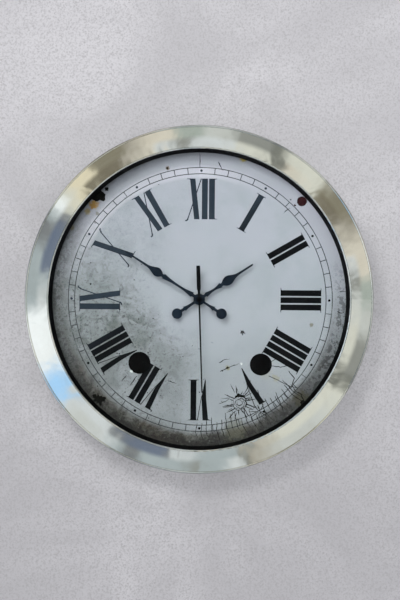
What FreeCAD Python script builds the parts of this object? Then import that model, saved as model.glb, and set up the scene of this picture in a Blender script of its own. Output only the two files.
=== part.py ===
"""Wall clock: a round steel case with a wide polished bezel, a Roman dial and a battery movement.

Millimetres.  The origin lies on the hands' axis in the plane of the wall.  +Z is up, +X is to the
right of someone who reads the dial, and the dial faces -Y, so every depth in front of the wall is a
negative y.  Dial angles run clockwise from twelve.
"""

import FreeCAD
import Part
import math
import os

Vector = FreeCAD.Vector

# ---------------------------------------------------------------- driving dimensions

# Case, as radii about the hands' axis and depths in front of the wall
CASE_RADIUS = 150.0
BEZEL_DEPTH = 44.0
BEZEL_FACE_WIDTH = 17.2
BEZEL_LIP_WIDTH = 1.4
BEZEL_TILT_INNER = 6.0
BEZEL_TILT_OUTER = 36.0
BEZEL_LIP_STEP = 1.0
BEZEL_LIP_RISE = 0.7
RIM_BEAD_WIDTH = 1.8
RIM_BEAD_RISE = 0.7
RIM_STEP = 0.7
RIM_THICKNESS = 1.4
RIM_SHOULDER = 2.5
SHEET = 0.8
PAN_SHEET = 0.8
PAN_REAR_FLAT = 14.0
PAN_CORNER = 6.0
PAN_RECESS = 2.5
PAN_SKIRT_OVERLAP = 12.0
MOVEMENT_WINDOW_RADIUS = 50.0
NEST_CLEARANCE = 0.1

# Glass, gasket, spacer, dial and backing board, from the front to the back
GLASS_FRONT = 38.0
GLASS_THICKNESS = 2.0
GLASS_COVER = 2.0
GASKET_WALL = 0.6
GASKET_WEB = 1.4
GASKET_GRIP = 1.0
SPACER_TAPER = 2.9
SPACER_WALL = 1.2
DIAL_FRONT = 23.0
DIAL_THICKNESS = 0.5
BOARD_THICKNESS = 2.5
RUBBER_THICKNESS = 0.5

# Hanger
KEYHOLE_HEIGHT = 108.0
KEYHOLE_RADIUS = 4.5
KEYHOLE_SLOT_WIDTH = 4.5
KEYHOLE_SLOT_LENGTH = 9.0
HANGER_WIDTH = 44.0
HANGER_HEIGHT = 24.0
HANGER_THICKNESS = 1.2
HANGER_WINDOW_RADIUS = 8.0
RIVET_RADIUS = 1.5
RIVET_HEAD_RADIUS = 2.6
RIVET_HEAD_HEIGHT = 0.9

# Case screws
CASE_SCREW_ANGLES = (30, 90, 150, 210, 270, 330)
CASE_SCREW_RADIUS = 1.4
CASE_SCREW_LENGTH = 5.0
CASE_SCREW_HEAD_RADIUS = 2.6
CASE_SCREW_HEAD_HEIGHT = 1.5
CASE_SCREW_HEAD_ROUNDING = 0.6
CASE_SCREW_SLOT = 0.7
SCREW_CLEARANCE = 0.2
THREAD_CLEARANCE = 0.02

# How far moulded pieces run into each other where they are fused, and the bearing cups' wall and height
FUSE_OVERLAP = 0.2
CUP_WALL = 0.5
CUP_HEIGHT = 0.5
PIVOT_HOLE_DEPTH = 0.4

# Movement housing
HOUSING_WIDTH = 56.0
HOUSING_DEPTH = 16.0
HOUSING_WALL = 1.2
HOUSING_CORNER = 3.0
BAY_WALL_TOP = -18.5
LID_CLEARANCE = 0.15
LID_LIP = 1.4

# Battery, size AA
BATTERY_RADIUS = 7.1
BATTERY_LENGTH = 49.3
BATTERY_CHAMFER = 0.4
SLEEVE_SETBACK = 0.8
BATTERY_SLEEVE = 0.2
BATTERY_CAP_RADIUS = 2.75
BATTERY_CAP_LENGTH = 1.2
BATTERY_FLOOR_GAP = 0.3
BATTERY_SIDE_GAP = 0.3
CONTACT_THICKNESS = 0.4
CONTACT_GAP = 0.1

# Centre stack: bush, nut, pipes and arbor
BUSH_RADIUS = 4.0
BUSH_FRONT = 26.5
BUSH_FLANGE_RADIUS = 6.0
BUSH_FLANGE = 0.6
THREAD_PITCH = 0.75
THREAD_DEPTH = 0.25
THREAD_RUNOUT = 0.3
NUT_ACROSS_FLATS = 10.0
NUT_THICKNESS = 2.2
WASHER_RADIUS = 7.5
WASHER_THICKNESS = 0.4
HOUR_PIPE_RADIUS = 2.5
HOUR_PIPE_FRONT = 28.7
MINUTE_PIPE_RADIUS = 1.6
MINUTE_PIPE_FRONT = 31.2
SECOND_ARBOR_RADIUS = 0.5
SECOND_ARBOR_FRONT = 33.3
RUNNING_CLEARANCE = 0.05
BOARD_HOLE_CLEARANCE = 0.2

# Hands: thickness, depth of the rear face, angle on the dial
HAND_THICKNESS = 0.4
HOUR_HAND_REAR = 28.0
HOUR_HAND_ANGLE = 57.0
HOUR_HUB_RADIUS = 5.0
MINUTE_HAND_REAR = 30.5
MINUTE_HAND_ANGLE = 303.0
MINUTE_HUB_RADIUS = 4.2
SECOND_HAND_REAR = 32.6
SECOND_HAND_ANGLE = 178.3
SECOND_HUB_RADIUS = 2.4

# Hands, as (height above the axis, half width) along each, and tail discs as (drop, radius)
HOUR_DISC = (22.7, 4.55)
HOUR_HAND_BARS = (
    ((-20.0, 1.3), (-14.8, 1.3)),
    ((-4.2, 1.3), (7.4, 1.3)),
    ((22.2, 1.45), (24.6, 1.45)),
    ((40.8, 1.0), (54.6, 0.75), (55.3, 0.4)),
)
HOUR_HAND_CURVES = (
    ((-15.2, 2.3), (-13.6, 1.75), (-11.0, 1.3), (-7.5, 1.15), (-4.0, 1.3)),
    ((7.0, 2.2), (9.0, 1.75), (12.0, 1.2), (15.5, 1.0), (18.5, 1.35), (20.8, 1.95), (22.4, 2.35)),
    ((24.2, 1.5), (25.4, 2.6), (27.2, 3.6), (29.8, 4.15), (32.2, 3.7), (34.2, 2.75), (36.2, 1.9),
     (38.5, 1.3), (41.0, 1.0)),
)
MINUTE_DISC = (22.9, 4.6)
MINUTE_HAND_BARS = (
    ((-20.0, 1.2), (-15.0, 1.2)),
    ((-4.2, 1.1), (7.4, 1.4)),
    ((36.6, 1.4), (38.8, 1.4)),
    ((52.8, 1.05), (74.8, 0.6), (75.5, 0.3)),
)
MINUTE_HAND_CURVES = (
    ((-15.2, 2.3), (-13.6, 1.6), (-11.0, 1.15), (-7.5, 0.95), (-4.0, 1.1)),
    ((7.0, 2.5), (9.5, 2.0), (13.0, 1.4), (17.5, 1.05), (22.5, 1.0), (28.0, 1.25), (32.5, 1.75),
     (36.8, 2.4)),
    ((38.4, 1.6), (39.6, 2.6), (41.2, 3.45), (43.4, 3.95), (45.6, 3.4), (47.8, 2.5), (50.2, 1.6),
     (53.0, 1.05)),
)
SECOND_HAND_BARS = (
    ((-29.0, 1.7), (-7.9, 1.7)),
    ((-8.2, 1.1), (0.0, 1.0)),
    ((0.0, 0.75), (80.5, 0.55)),
)
CAP_RADIUS = 1.9
CAP_CROWN_RADIUS = 0.38
CAP_HEIGHT = 1.1
COLLET_WALL = 0.9
COLLET_LENGTH = 0.9

# Gear train: teeth, module, and layer depths (front of each layer)
ADDENDUM = 0.7
DEDENDUM = 1.0
TOOTH_HALF_AT_PITCH = 0.55
TOOTH_HALF_AT_TIP = 0.25
TOOTH_HALF_AT_ROOT = 0.62
GEAR_THICKNESS = 0.7
HOUR_LAYER = 17.9
MOTION_LAYER = 16.7
CENTRE_LAYER = 15.2
THIRD_LAYER = 13.8
SECOND_LAYER = 12.4
FIFTH_LAYER = 11.0
PINION_OVERHANG = 0.15
CENTRE_DISTANCE = 9.0

# Train plate corners, and the crystal's radius
TRAIN_PLATE_OUTLINE = ((-18.5, 1), (-18.5, 6), (-12, 11), (-6, 11), (16.5, -3), (17, -15.5), (-5, -16.5))
CRYSTAL_RADIUS = 0.95

# Wheel windows: inner radius, outer radius, number of spokes, spoke width
FIFTH_SPOKES = (1.8, 4.2, 3, 1.2)
SECOND_SPOKES = (2.0, 6.0, 4, 1.3)
THIRD_SPOKES = (1.8, 6.4, 4, 1.3)
CENTRE_SPOKES = (3.4, 6.6, 5, 1.3)
MOTION_SPOKES = (2.4, 5.2, 4, 1.2)
ROTOR_DISTANCE = 6.16
ROTOR_TEETH = 8
FIFTH_WHEEL_TEETH = 48
FIFTH_PINION_TEETH = 10
SECOND_WHEEL_TEETH = 50
SECOND_PINION_TEETH = 8
THIRD_WHEEL_TEETH = 60
THIRD_PINION_TEETH = 8
CENTRE_WHEEL_TEETH = 64
CANNON_TEETH = 12
MOTION_WHEEL_TEETH = 36
MOTION_PINION_TEETH = 10
HOUR_WHEEL_TEETH = 40
KNOB_TEETH = 12
THIRD_DIRECTION = -20.0
FIFTH_DIRECTION = 165.0
MOTION_DIRECTION = 215.0
ROTOR_DIRECTION = 90.0
KNOB_DIRECTION = 225.0
PIVOT_RADIUS = 0.35
STUD_RADIUS = 0.8
STUD_REACH = 1.6

# Stepping motor, train plate and circuit
MAGNET_RADIUS = 2.6
MAGNET_DEPTH = 1.8
MAGNET_FRONT = 9.7
STATOR_BORE = 3.0
STATOR_RING = 4.0
STATOR_FRONT = 9.2
STATOR_THICKNESS = 0.8
STATOR_LEFT = -17.0
STATOR_RIGHT = 19.0
STATOR_LEG_WIDTH = 4.0
STATOR_BAR_HEIGHT = 5.0
CORE_WIDTH = 3.0
CORE_THICKNESS = 1.0
BOBBIN_LENGTH = 24.0
BOBBIN_FLANGE_RADIUS = 3.0
BOBBIN_FLANGE = 0.8
BOBBIN_TUBE_WALL = 0.4
BOBBIN_GAP = 0.1
COIL_HEADROOM = 1.9
WINDING_RADIUS = 2.7
PLATE_REAR = 6.2
PLATE_THICKNESS = 1.0
POST_RADIUS = 1.5
POST_FROM_FIFTH = (-7.3, 1.2)
POST_FROM_AXIS = (-2.0, -14.0)
POST_FROM_THIRD = (5.5, -9.9)
CIRCUIT_LEFT = 17.8
CIRCUIT_RIGHT = 26.3
CIRCUIT_BOTTOM = -17.0
CIRCUIT_TOP = 10.5
CIRCUIT_THICKNESS = 0.8
CIRCUIT_REAR = 7.2
CIRCUIT_POSTS = ((22.6, 8.0), (22.6, -15.0))
SMALL_SCREW_RADIUS = 0.6
SMALL_SCREW_HEAD_RADIUS = 1.2
SMALL_SCREW_HEAD_HEIGHT = 0.6
SMALL_SCREW_LENGTH = 3.5

# Setting knob
KNOB_RADIUS = 5.5
KNOB_THICKNESS = 1.6
KNOB_REAR = 1.5
KNOB_SHAFT_RADIUS = 1.3
KNOB_NOTCHES = 18
KNOB_NOTCH_RADIUS = 0.45
KNOB_BOSS_RADIUS = 3.0

# ---------------------------------------------------------------- values worked out from those above

BEZEL_FACE_OUTER = CASE_RADIUS - RIM_BEAD_WIDTH
BEZEL_FACE_INNER = BEZEL_FACE_OUTER - BEZEL_FACE_WIDTH
SIGHT_RADIUS = BEZEL_FACE_INNER - BEZEL_LIP_WIDTH
SKIRT_OUTER = CASE_RADIUS - RIM_SHOULDER
SKIRT_INNER = SKIRT_OUTER - SHEET
GLASS_RADIUS = SIGHT_RADIUS + GLASS_COVER
GLASS_REAR = GLASS_FRONT - GLASS_THICKNESS
GASKET_FRONT = GLASS_FRONT + GASKET_WALL
GASKET_REAR = GLASS_REAR - GASKET_WALL
GASKET_OUTER = GLASS_RADIUS + GASKET_WEB
GASKET_INNER = GLASS_RADIUS - GASKET_GRIP
DIAL_RADIUS = SKIRT_INNER - 3 * NEST_CLEARANCE
DIAL_OPENING = SIGHT_RADIUS - SPACER_TAPER
DIAL_REAR = DIAL_FRONT - DIAL_THICKNESS
BOARD_REAR = DIAL_REAR - BOARD_THICKNESS
PAN_OUTER = SKIRT_INNER - NEST_CLEARANCE
PAN_INNER = PAN_OUTER - PAN_SHEET
SKIRT_REAR = BOARD_REAR - PAN_SKIRT_OVERLAP
SCREW_DEPTH = (BOARD_REAR + SKIRT_REAR) / 2
PAN_FLAT_OUTER = PAN_OUTER - PAN_CORNER
PAN_FLAT_INNER = PAN_FLAT_OUTER - PAN_REAR_FLAT
HOUSING_FRONT = BOARD_REAR - RUBBER_THICKNESS
HOUSING_REAR = HOUSING_FRONT - HOUSING_DEPTH
HOUSING_FLOOR = HOUSING_FRONT - HOUSING_WALL
LID_FRONT = HOUSING_REAR + HOUSING_WALL
NUT_FRONT = DIAL_FRONT + WASHER_THICKNESS + NUT_THICKNESS
PLATE_FRONT = PLATE_REAR + PLATE_THICKNESS
BUSH_BORE = HOUR_PIPE_RADIUS + RUNNING_CLEARANCE
HOUR_PIPE_BORE = MINUTE_PIPE_RADIUS + RUNNING_CLEARANCE
MINUTE_PIPE_BORE = SECOND_ARBOR_RADIUS + RUNNING_CLEARANCE
BATTERY_DEPTH = HOUSING_FLOOR - BATTERY_RADIUS - BATTERY_FLOOR_GAP
STATOR_REAR = STATOR_FRONT - STATOR_THICKNESS
CORE_REAR = STATOR_REAR - CORE_THICKNESS
CORE_DEPTH = (STATOR_REAR + CORE_REAR) / 2
CIRCUIT_FRONT = CIRCUIT_REAR + CIRCUIT_THICKNESS
HALF_WIDTH = HOUSING_WIDTH / 2
BAY_WALL_BOTTOM = BAY_WALL_TOP - HOUSING_WALL
HOUSING_BOTTOM = 2 * (BATTERY_RADIUS + BATTERY_SIDE_GAP) + HOUSING_WALL - BAY_WALL_BOTTOM
BATTERY_HEIGHT = (BAY_WALL_BOTTOM + HOUSING_WALL - HOUSING_BOTTOM) / 2


def module_for(distance, teeth_a, teeth_b):
    """The module that makes two gears mesh at a centre distance."""
    return 2 * distance / (teeth_a + teeth_b)


ROTOR_MODULE = module_for(ROTOR_DISTANCE, ROTOR_TEETH, FIFTH_WHEEL_TEETH)
FIFTH_MODULE = module_for(CENTRE_DISTANCE, FIFTH_PINION_TEETH, SECOND_WHEEL_TEETH)
SECOND_MODULE = module_for(CENTRE_DISTANCE, SECOND_PINION_TEETH, THIRD_WHEEL_TEETH)
THIRD_MODULE = module_for(CENTRE_DISTANCE, THIRD_PINION_TEETH, CENTRE_WHEEL_TEETH)
CANNON_MODULE = module_for(CENTRE_DISTANCE, CANNON_TEETH, MOTION_WHEEL_TEETH)
MOTION_MODULE = module_for(CENTRE_DISTANCE, MOTION_PINION_TEETH, HOUR_WHEEL_TEETH)


def step_from(place, direction, distance):
    """A point at a distance from a place; direction in degrees from +X towards +Z."""
    turn = math.radians(direction)
    return (place[0] + distance * math.cos(turn), place[1] + distance * math.sin(turn))


AXIS = (0.0, 0.0)
THIRD_PLACE = step_from(AXIS, THIRD_DIRECTION, CENTRE_DISTANCE)
FIFTH_PLACE = step_from(AXIS, FIFTH_DIRECTION, CENTRE_DISTANCE)
MOTION_PLACE = step_from(AXIS, MOTION_DIRECTION, CENTRE_DISTANCE)
ROTOR_PLACE = step_from(FIFTH_PLACE, ROTOR_DIRECTION, ROTOR_DISTANCE)
CORE_HEIGHT = ROTOR_PLACE[1] + STATOR_RING + BOBBIN_FLANGE_RADIUS + BOBBIN_GAP
HOUSING_TOP = CORE_HEIGHT + BOBBIN_FLANGE_RADIUS + COIL_HEADROOM
KNOB_DISTANCE = CANNON_MODULE * (MOTION_WHEEL_TEETH + KNOB_TEETH) / 2
KNOB_PLACE = step_from(MOTION_PLACE, KNOB_DIRECTION, KNOB_DISTANCE)


def shifted(place, by):
    """A place moved by an (x, z) step."""
    return (place[0] + by[0], place[1] + by[1])


# The train plate's posts stand clear of the wheels that they follow
PLATE_POSTS = (shifted(FIFTH_PLACE, POST_FROM_FIFTH), POST_FROM_AXIS, shifted(THIRD_PLACE, POST_FROM_THIRD))


def partner_phase(teeth, phase, partner_teeth, direction):
    """The tooth angle that puts a partner gear in mesh, where direction points from gear to partner."""
    line = math.radians(direction)
    ahead = teeth * (line - phase) / (2 * math.pi)
    return line + math.pi - (0.5 - ahead) * 2 * math.pi / partner_teeth


# ---------------------------------------------------------------- shape helpers

def cylinder(radius, front, rear, place=AXIS):
    """A round bar along Y between two depths in front of the wall."""
    start = Vector(place[0], -front, place[1])
    return Part.makeCylinder(radius, front - rear, start, Vector(0, 1, 0))


def tube(outer, bore, front, rear, place=AXIS):
    """A bar with a hole through it."""
    return cylinder(outer, front, rear, place).cut(cylinder(bore, front + 1, rear - 1, place))


def box(left, right, bottom, top, front, rear):
    """A block between two x, two z and two depths in front of the wall."""
    corner = Vector(left, -front, bottom)
    return Part.makeBox(right - left, front - rear, top - bottom, corner)


def flat(points, front, rear):
    """A plate cut to a closed outline of (x, z) points."""
    corners = [Vector(x, -front, z) for x, z in points]
    face = Part.Face(Part.makePolygon(corners + corners[:1]))
    return face.extrude(Vector(0, front - rear, 0))


def line_edge(start, end):
    """A straight profile edge between two (radius, depth) points."""
    return Part.makeLine(Vector(start[0], -start[1], 0), Vector(end[0], -end[1], 0))


def arc_edge(start, middle, end):
    """A profile edge along the circle through three (radius, depth) points."""
    ends = [Vector(radius, -depth, 0) for radius, depth in (start, middle, end)]
    return Part.Arc(*ends).toShape()


def revolve(edges):
    """The solid of revolution of a closed profile about the hands' axis."""
    face = Part.Face(Part.Wire(edges))
    return face.revolve(Vector(0, 0, 0), Vector(0, 1, 0), 360)


def ring(points):
    """The solid of revolution of a closed polygon of (radius, depth) points."""
    return revolve([line_edge(a, b) for a, b in zip(points, points[1:] + points[:1])])


def turned(shape, dial_angle):
    """A shape drawn towards twelve, turned clockwise to a dial angle."""
    result = shape.copy()
    result.rotate(Vector(0, 0, 0), Vector(0, 1, 0), dial_angle)
    return result


def rim_edges(shape, depth):
    """The round edges of a shape that lie at one depth."""
    return [edge for edge in shape.Edges
            if abs(edge.BoundBox.YMin + depth) < 0.01 and edge.BoundBox.YLength < 0.01]


def fuse_all(shapes):
    """One solid made of several that touch."""
    return shapes[0].multiFuse(shapes[1:]).removeSplitter()


def gear(teeth, module, phase, place, front, thickness=GEAR_THICKNESS):
    """A gear blank whose first tooth points at the phase angle, from +X towards +Z."""
    pitch = teeth * module / 2
    root = pitch - DEDENDUM * module
    tip = pitch + ADDENDUM * module
    flank = (
        (root, -TOOTH_HALF_AT_ROOT),
        (pitch, -TOOTH_HALF_AT_PITCH),
        (tip, -TOOTH_HALF_AT_TIP),
        (tip, TOOTH_HALF_AT_TIP),
        (pitch, TOOTH_HALF_AT_PITCH),
        (root, TOOTH_HALF_AT_ROOT),
    )
    points = []
    for tooth in range(teeth):
        centre = phase + 2 * math.pi * tooth / teeth
        for radius, half in flank:
            turn = centre + math.asin(half * module / radius)
            points.append((place[0] + radius * math.cos(turn), place[1] + radius * math.sin(turn)))
    return flat(points, front, front - thickness)


def pinion(teeth, module, phase, place, layer):
    """A pinion a little longer than the wheel that it meshes with."""
    length = GEAR_THICKNESS + 2 * PINION_OVERHANG
    return gear(teeth, module, phase, place, layer + PINION_OVERHANG, length)


def spoked(blank, inner, outer, spokes, spoke_width, place, front):
    """A wheel blank with open sectors between its spokes."""
    window = tube(outer, inner, front + 1, front - GEAR_THICKNESS - 1, place)
    for number in range(spokes):
        reach = outer + 1
        spoke = box(0, reach, -spoke_width / 2, spoke_width / 2, front + 2, front - GEAR_THICKNESS - 2)
        spoke.rotate(Vector(0, 0, 0), Vector(0, -1, 0), 360 * number / spokes)
        spoke.translate(Vector(place[0], 0, place[1]))
        window = window.cut(spoke)
    return blank.cut(window)


# ---------------------------------------------------------------- case

def bezel_ring():
    """Spun steel ring: inner lip, broad convex face, beaded rim and a skirt over the pan."""
    first = math.radians(BEZEL_TILT_INNER)
    last = math.radians(BEZEL_TILT_OUTER)
    sweep = BEZEL_FACE_WIDTH / (math.sin(last) - math.sin(first))
    centre = (BEZEL_FACE_INNER - sweep * math.sin(first), BEZEL_DEPTH - sweep * math.cos(first))

    def on_face(radius, tilt):
        """A point of an arc about the face's centre, at a tilt from the front."""
        return (centre[0] + radius * math.sin(tilt), centre[1] + radius * math.cos(tilt))

    inside = sweep - SHEET
    inside_first = math.asin((BEZEL_FACE_INNER + SHEET - centre[0]) / inside)
    inside_last = math.asin((SKIRT_INNER - centre[0]) / inside)
    inside_start = on_face(inside, inside_first)
    inside_end = on_face(inside, inside_last)
    lip_edge = BEZEL_DEPTH - BEZEL_LIP_STEP
    lip_inner = (SIGHT_RADIUS, lip_edge)
    lip_outer = (BEZEL_FACE_INNER, lip_edge)
    lip_middle = ((SIGHT_RADIUS + BEZEL_FACE_INNER) / 2, lip_edge + BEZEL_LIP_RISE)
    face_start = on_face(sweep, first)
    face_end = on_face(sweep, last)
    bead_seat = face_end[1] - RIM_STEP
    seat = (BEZEL_FACE_OUTER, bead_seat)
    bead_middle = (CASE_RADIUS - RIM_BEAD_WIDTH / 2, bead_seat + RIM_BEAD_RISE)
    rim = (CASE_RADIUS, bead_seat)
    rim_rear = (CASE_RADIUS, bead_seat - RIM_THICKNESS)
    shoulder = (SKIRT_OUTER, bead_seat - RIM_THICKNESS - SHEET)
    return revolve([
        line_edge((SIGHT_RADIUS, GASKET_FRONT), lip_inner),
        arc_edge(lip_inner, lip_middle, lip_outer),
        line_edge(lip_outer, face_start),
        arc_edge(face_start, on_face(sweep, (first + last) / 2), face_end),
        line_edge(face_end, seat),
        arc_edge(seat, bead_middle, rim),
        line_edge(rim, rim_rear),
        line_edge(rim_rear, shoulder),
        line_edge(shoulder, (SKIRT_OUTER, SKIRT_REAR)),
        line_edge((SKIRT_OUTER, SKIRT_REAR), (SKIRT_INNER, SKIRT_REAR)),
        line_edge((SKIRT_INNER, SKIRT_REAR), inside_end),
        arc_edge(inside_end, on_face(inside, (inside_first + inside_last) / 2), inside_start),
        line_edge(inside_start, (BEZEL_FACE_INNER + SHEET, GASKET_FRONT)),
        line_edge((BEZEL_FACE_INNER + SHEET, GASKET_FRONT), (SIGHT_RADIUS, GASKET_FRONT)),
    ])


def case_screw(angle, head_radius, shank_radius):
    """A pan-head screw driven towards the axis through the skirt and the pan."""
    seat = SKIRT_OUTER
    foot = Vector(0, -SCREW_DEPTH, seat)
    shank = Part.makeCylinder(shank_radius, CASE_SCREW_LENGTH, foot, Vector(0, 0, -1))
    head = Part.makeCylinder(head_radius, CASE_SCREW_HEAD_HEIGHT, foot, Vector(0, 0, 1))
    head = head.makeFillet(CASE_SCREW_HEAD_ROUNDING, [head.Edges[0]])
    slot = Part.makeBox(2 * head_radius, CASE_SCREW_SLOT, CASE_SCREW_SLOT)
    slot_floor = seat + CASE_SCREW_HEAD_HEIGHT - CASE_SCREW_SLOT
    slot.translate(Vector(-head_radius, -SCREW_DEPTH - CASE_SCREW_SLOT / 2, slot_floor))
    return turned(head.cut(slot).fuse(shank), angle)


def screw_holes(shape, radius):
    """A shape with the case screws' holes drilled through it."""
    for angle in CASE_SCREW_ANGLES:
        start = Vector(0, -SCREW_DEPTH, PAN_INNER - 3)
        hole = Part.makeCylinder(radius, CASE_RADIUS - PAN_INNER + 3, start, Vector(0, 0, 1))
        shape = shape.cut(turned(hole, angle))
    return shape


def bezel_with_holes():
    """The bezel with clearance holes for the case screws."""
    return screw_holes(bezel_ring(), CASE_SCREW_RADIUS + SCREW_CLEARANCE)


def case_shell():
    """Pressed steel pan: side wall, rounded rear corner, wall rim, recessed floor and window."""
    corner = (PAN_OUTER, PAN_CORNER)
    bend = PAN_CORNER * (1 - math.sqrt(0.5))
    inner_bend = bend + PAN_SHEET * math.sqrt(0.5)
    flat_outer = (PAN_FLAT_OUTER, 0)
    recess_outer = PAN_FLAT_INNER - PAN_RECESS
    floor_front = PAN_RECESS + PAN_SHEET
    window_lip = MOVEMENT_WINDOW_RADIUS + PAN_SHEET
    pan = revolve([
        line_edge((PAN_OUTER, BOARD_REAR), corner),
        arc_edge(corner, (PAN_OUTER - bend, bend), flat_outer),
        line_edge(flat_outer, (PAN_FLAT_INNER, 0)),
        line_edge((PAN_FLAT_INNER, 0), (recess_outer, PAN_RECESS)),
        line_edge((recess_outer, PAN_RECESS), (MOVEMENT_WINDOW_RADIUS, PAN_RECESS)),
        line_edge((MOVEMENT_WINDOW_RADIUS, PAN_RECESS), (MOVEMENT_WINDOW_RADIUS, floor_front + 2)),
        line_edge((MOVEMENT_WINDOW_RADIUS, floor_front + 2), (window_lip, floor_front + 2)),
        line_edge((window_lip, floor_front + 2), (window_lip, floor_front)),
        line_edge((window_lip, floor_front), (recess_outer + PAN_SHEET / 2, floor_front)),
        line_edge((recess_outer + PAN_SHEET / 2, floor_front), (PAN_FLAT_INNER + PAN_SHEET / 2, PAN_SHEET)),
        line_edge((PAN_FLAT_INNER + PAN_SHEET / 2, PAN_SHEET), (PAN_FLAT_OUTER, PAN_SHEET)),
        arc_edge((PAN_FLAT_OUTER, PAN_SHEET), (PAN_OUTER - inner_bend, inner_bend), (PAN_INNER, PAN_CORNER)),
        line_edge((PAN_INNER, PAN_CORNER), (PAN_INNER, BOARD_REAR)),
        line_edge((PAN_INNER, BOARD_REAR), (PAN_OUTER, BOARD_REAR)),
    ])
    pan = screw_holes(pan, CASE_SCREW_RADIUS + THREAD_CLEARANCE)
    window = cylinder(HANGER_WINDOW_RADIUS, floor_front + 1, -1, (0, KEYHOLE_HEIGHT))
    slot_height = KEYHOLE_HEIGHT + KEYHOLE_SLOT_LENGTH
    slot = box(-HANGER_WINDOW_RADIUS / 2, HANGER_WINDOW_RADIUS / 2, KEYHOLE_HEIGHT, slot_height,
               floor_front + 1, -1)
    pan = pan.cut(window).cut(slot)
    for place in rivet_places():
        pan = pan.cut(cylinder(RIVET_RADIUS, floor_front + 1, -1, place))
    return pan


def glass_lens():
    """Flat disc of clear glass with a small ground edge."""
    disc = cylinder(GLASS_RADIUS, GLASS_FRONT, GLASS_REAR)
    return disc.makeChamfer(0.25, rim_edges(disc, GLASS_FRONT))


def glass_gasket():
    """Rubber channel that wraps the edge of the glass."""
    return ring([
        (GASKET_INNER, GASKET_FRONT), (GASKET_OUTER, GASKET_FRONT), (GASKET_OUTER, GASKET_REAR),
        (GASKET_INNER, GASKET_REAR), (GASKET_INNER, GLASS_REAR), (GLASS_RADIUS, GLASS_REAR),
        (GLASS_RADIUS, GLASS_FRONT), (GASKET_INNER, GLASS_FRONT),
    ])


def spacer_ring():
    """Black moulded ring between the dial and the glass, with a tapered inner wall."""
    lean = SPACER_TAPER * SPACER_WALL / (GLASS_REAR - DIAL_FRONT)
    return ring([
        (DIAL_OPENING, DIAL_FRONT), (SIGHT_RADIUS, GLASS_REAR), (GASKET_INNER, GLASS_REAR),
        (GASKET_INNER, GASKET_REAR), (GASKET_OUTER, GASKET_REAR), (GASKET_OUTER, GASKET_REAR - SPACER_WALL),
        (SIGHT_RADIUS + SPACER_WALL, GASKET_REAR - SPACER_WALL),
        (DIAL_OPENING + SPACER_WALL + lean, DIAL_FRONT + SPACER_WALL),
        (DIAL_RADIUS, DIAL_FRONT + SPACER_WALL), (DIAL_RADIUS, DIAL_FRONT),
    ])


def dial_plate():
    """Printed sheet that carries the numerals."""
    return tube(DIAL_RADIUS, BUSH_RADIUS + BOARD_HOLE_CLEARANCE, DIAL_FRONT, DIAL_REAR)


def dial_backing():
    """Hardboard disc that seats on the pan's rim and carries the movement."""
    return tube(DIAL_RADIUS, BUSH_RADIUS + BOARD_HOLE_CLEARANCE, DIAL_REAR, BOARD_REAR)


def case_screws():
    """The screws that hold the bezel to the pan."""
    screws = [case_screw(angle, CASE_SCREW_HEAD_RADIUS, CASE_SCREW_RADIUS) for angle in CASE_SCREW_ANGLES]
    return Part.makeCompound(screws)


def rivet_places():
    """Where the rivets of the hanger plate go, as (x, z) points."""
    inset = 2 * RIVET_RADIUS + 1
    across = HANGER_WIDTH / 2 - inset
    up = HANGER_HEIGHT / 2 - inset
    return [(side * across, KEYHOLE_HEIGHT + level * up) for side in (-1, 1) for level in (-1, 1)]


def hanger_plate():
    """Steel plate with the keyhole that hangs on a wall screw."""
    front = PAN_RECESS + PAN_SHEET + HANGER_THICKNESS
    rear = PAN_RECESS + PAN_SHEET
    half_height = HANGER_HEIGHT / 2
    plate = box(-HANGER_WIDTH / 2, HANGER_WIDTH / 2, KEYHOLE_HEIGHT - half_height,
                KEYHOLE_HEIGHT + half_height, front, rear)
    upright = [edge for edge in plate.Edges if abs(edge.tangentAt(edge.FirstParameter).y) > 0.9]
    plate = plate.makeFillet(3.0, upright)
    half_slot = KEYHOLE_SLOT_WIDTH / 2
    slot_end = (0, KEYHOLE_HEIGHT + KEYHOLE_SLOT_LENGTH - half_slot)
    plate = plate.cut(cylinder(KEYHOLE_RADIUS, front + 1, rear - 1, (0, KEYHOLE_HEIGHT)))
    plate = plate.cut(cylinder(half_slot, front + 1, rear - 1, slot_end))
    plate = plate.cut(box(-half_slot, half_slot, KEYHOLE_HEIGHT, slot_end[1], front + 1, rear - 1))
    for place in rivet_places():
        plate = plate.cut(cylinder(RIVET_RADIUS, front + 1, rear - 1, place))
    return plate


def hanger_rivets():
    """Rivets through the hanger plate and the pan, with a head on each side."""
    front = PAN_RECESS + PAN_SHEET + HANGER_THICKNESS
    rivets = []
    for place in rivet_places():
        shank = cylinder(RIVET_RADIUS, front, PAN_RECESS, place)
        rear_head = cylinder(RIVET_HEAD_RADIUS, PAN_RECESS, PAN_RECESS - RIVET_HEAD_HEIGHT, place)
        front_head = cylinder(RIVET_HEAD_RADIUS, front + RIVET_HEAD_HEIGHT, front, place)
        rivets.append(fuse_all([shank, rear_head, front_head]))
    return Part.makeCompound(rivets)


# ---------------------------------------------------------------- movement housing

def post(place, rear):
    """A moulded post that stands on the housing's floor, with a pilot hole for a screw."""
    pilot = SMALL_SCREW_RADIUS + THREAD_CLEARANCE
    return cylinder(POST_RADIUS, HOUSING_FLOOR + FUSE_OVERLAP, rear, place).cut(
        cylinder(pilot, rear + SMALL_SCREW_LENGTH + 0.3, rear - 1, place))


def core_end_places():
    """The two points where the coil's core is screwed to the stator."""
    inset = STATOR_LEG_WIDTH / 2
    return [(STATOR_LEFT + inset, CORE_HEIGHT), (STATOR_RIGHT - inset, CORE_HEIGHT)]


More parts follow.
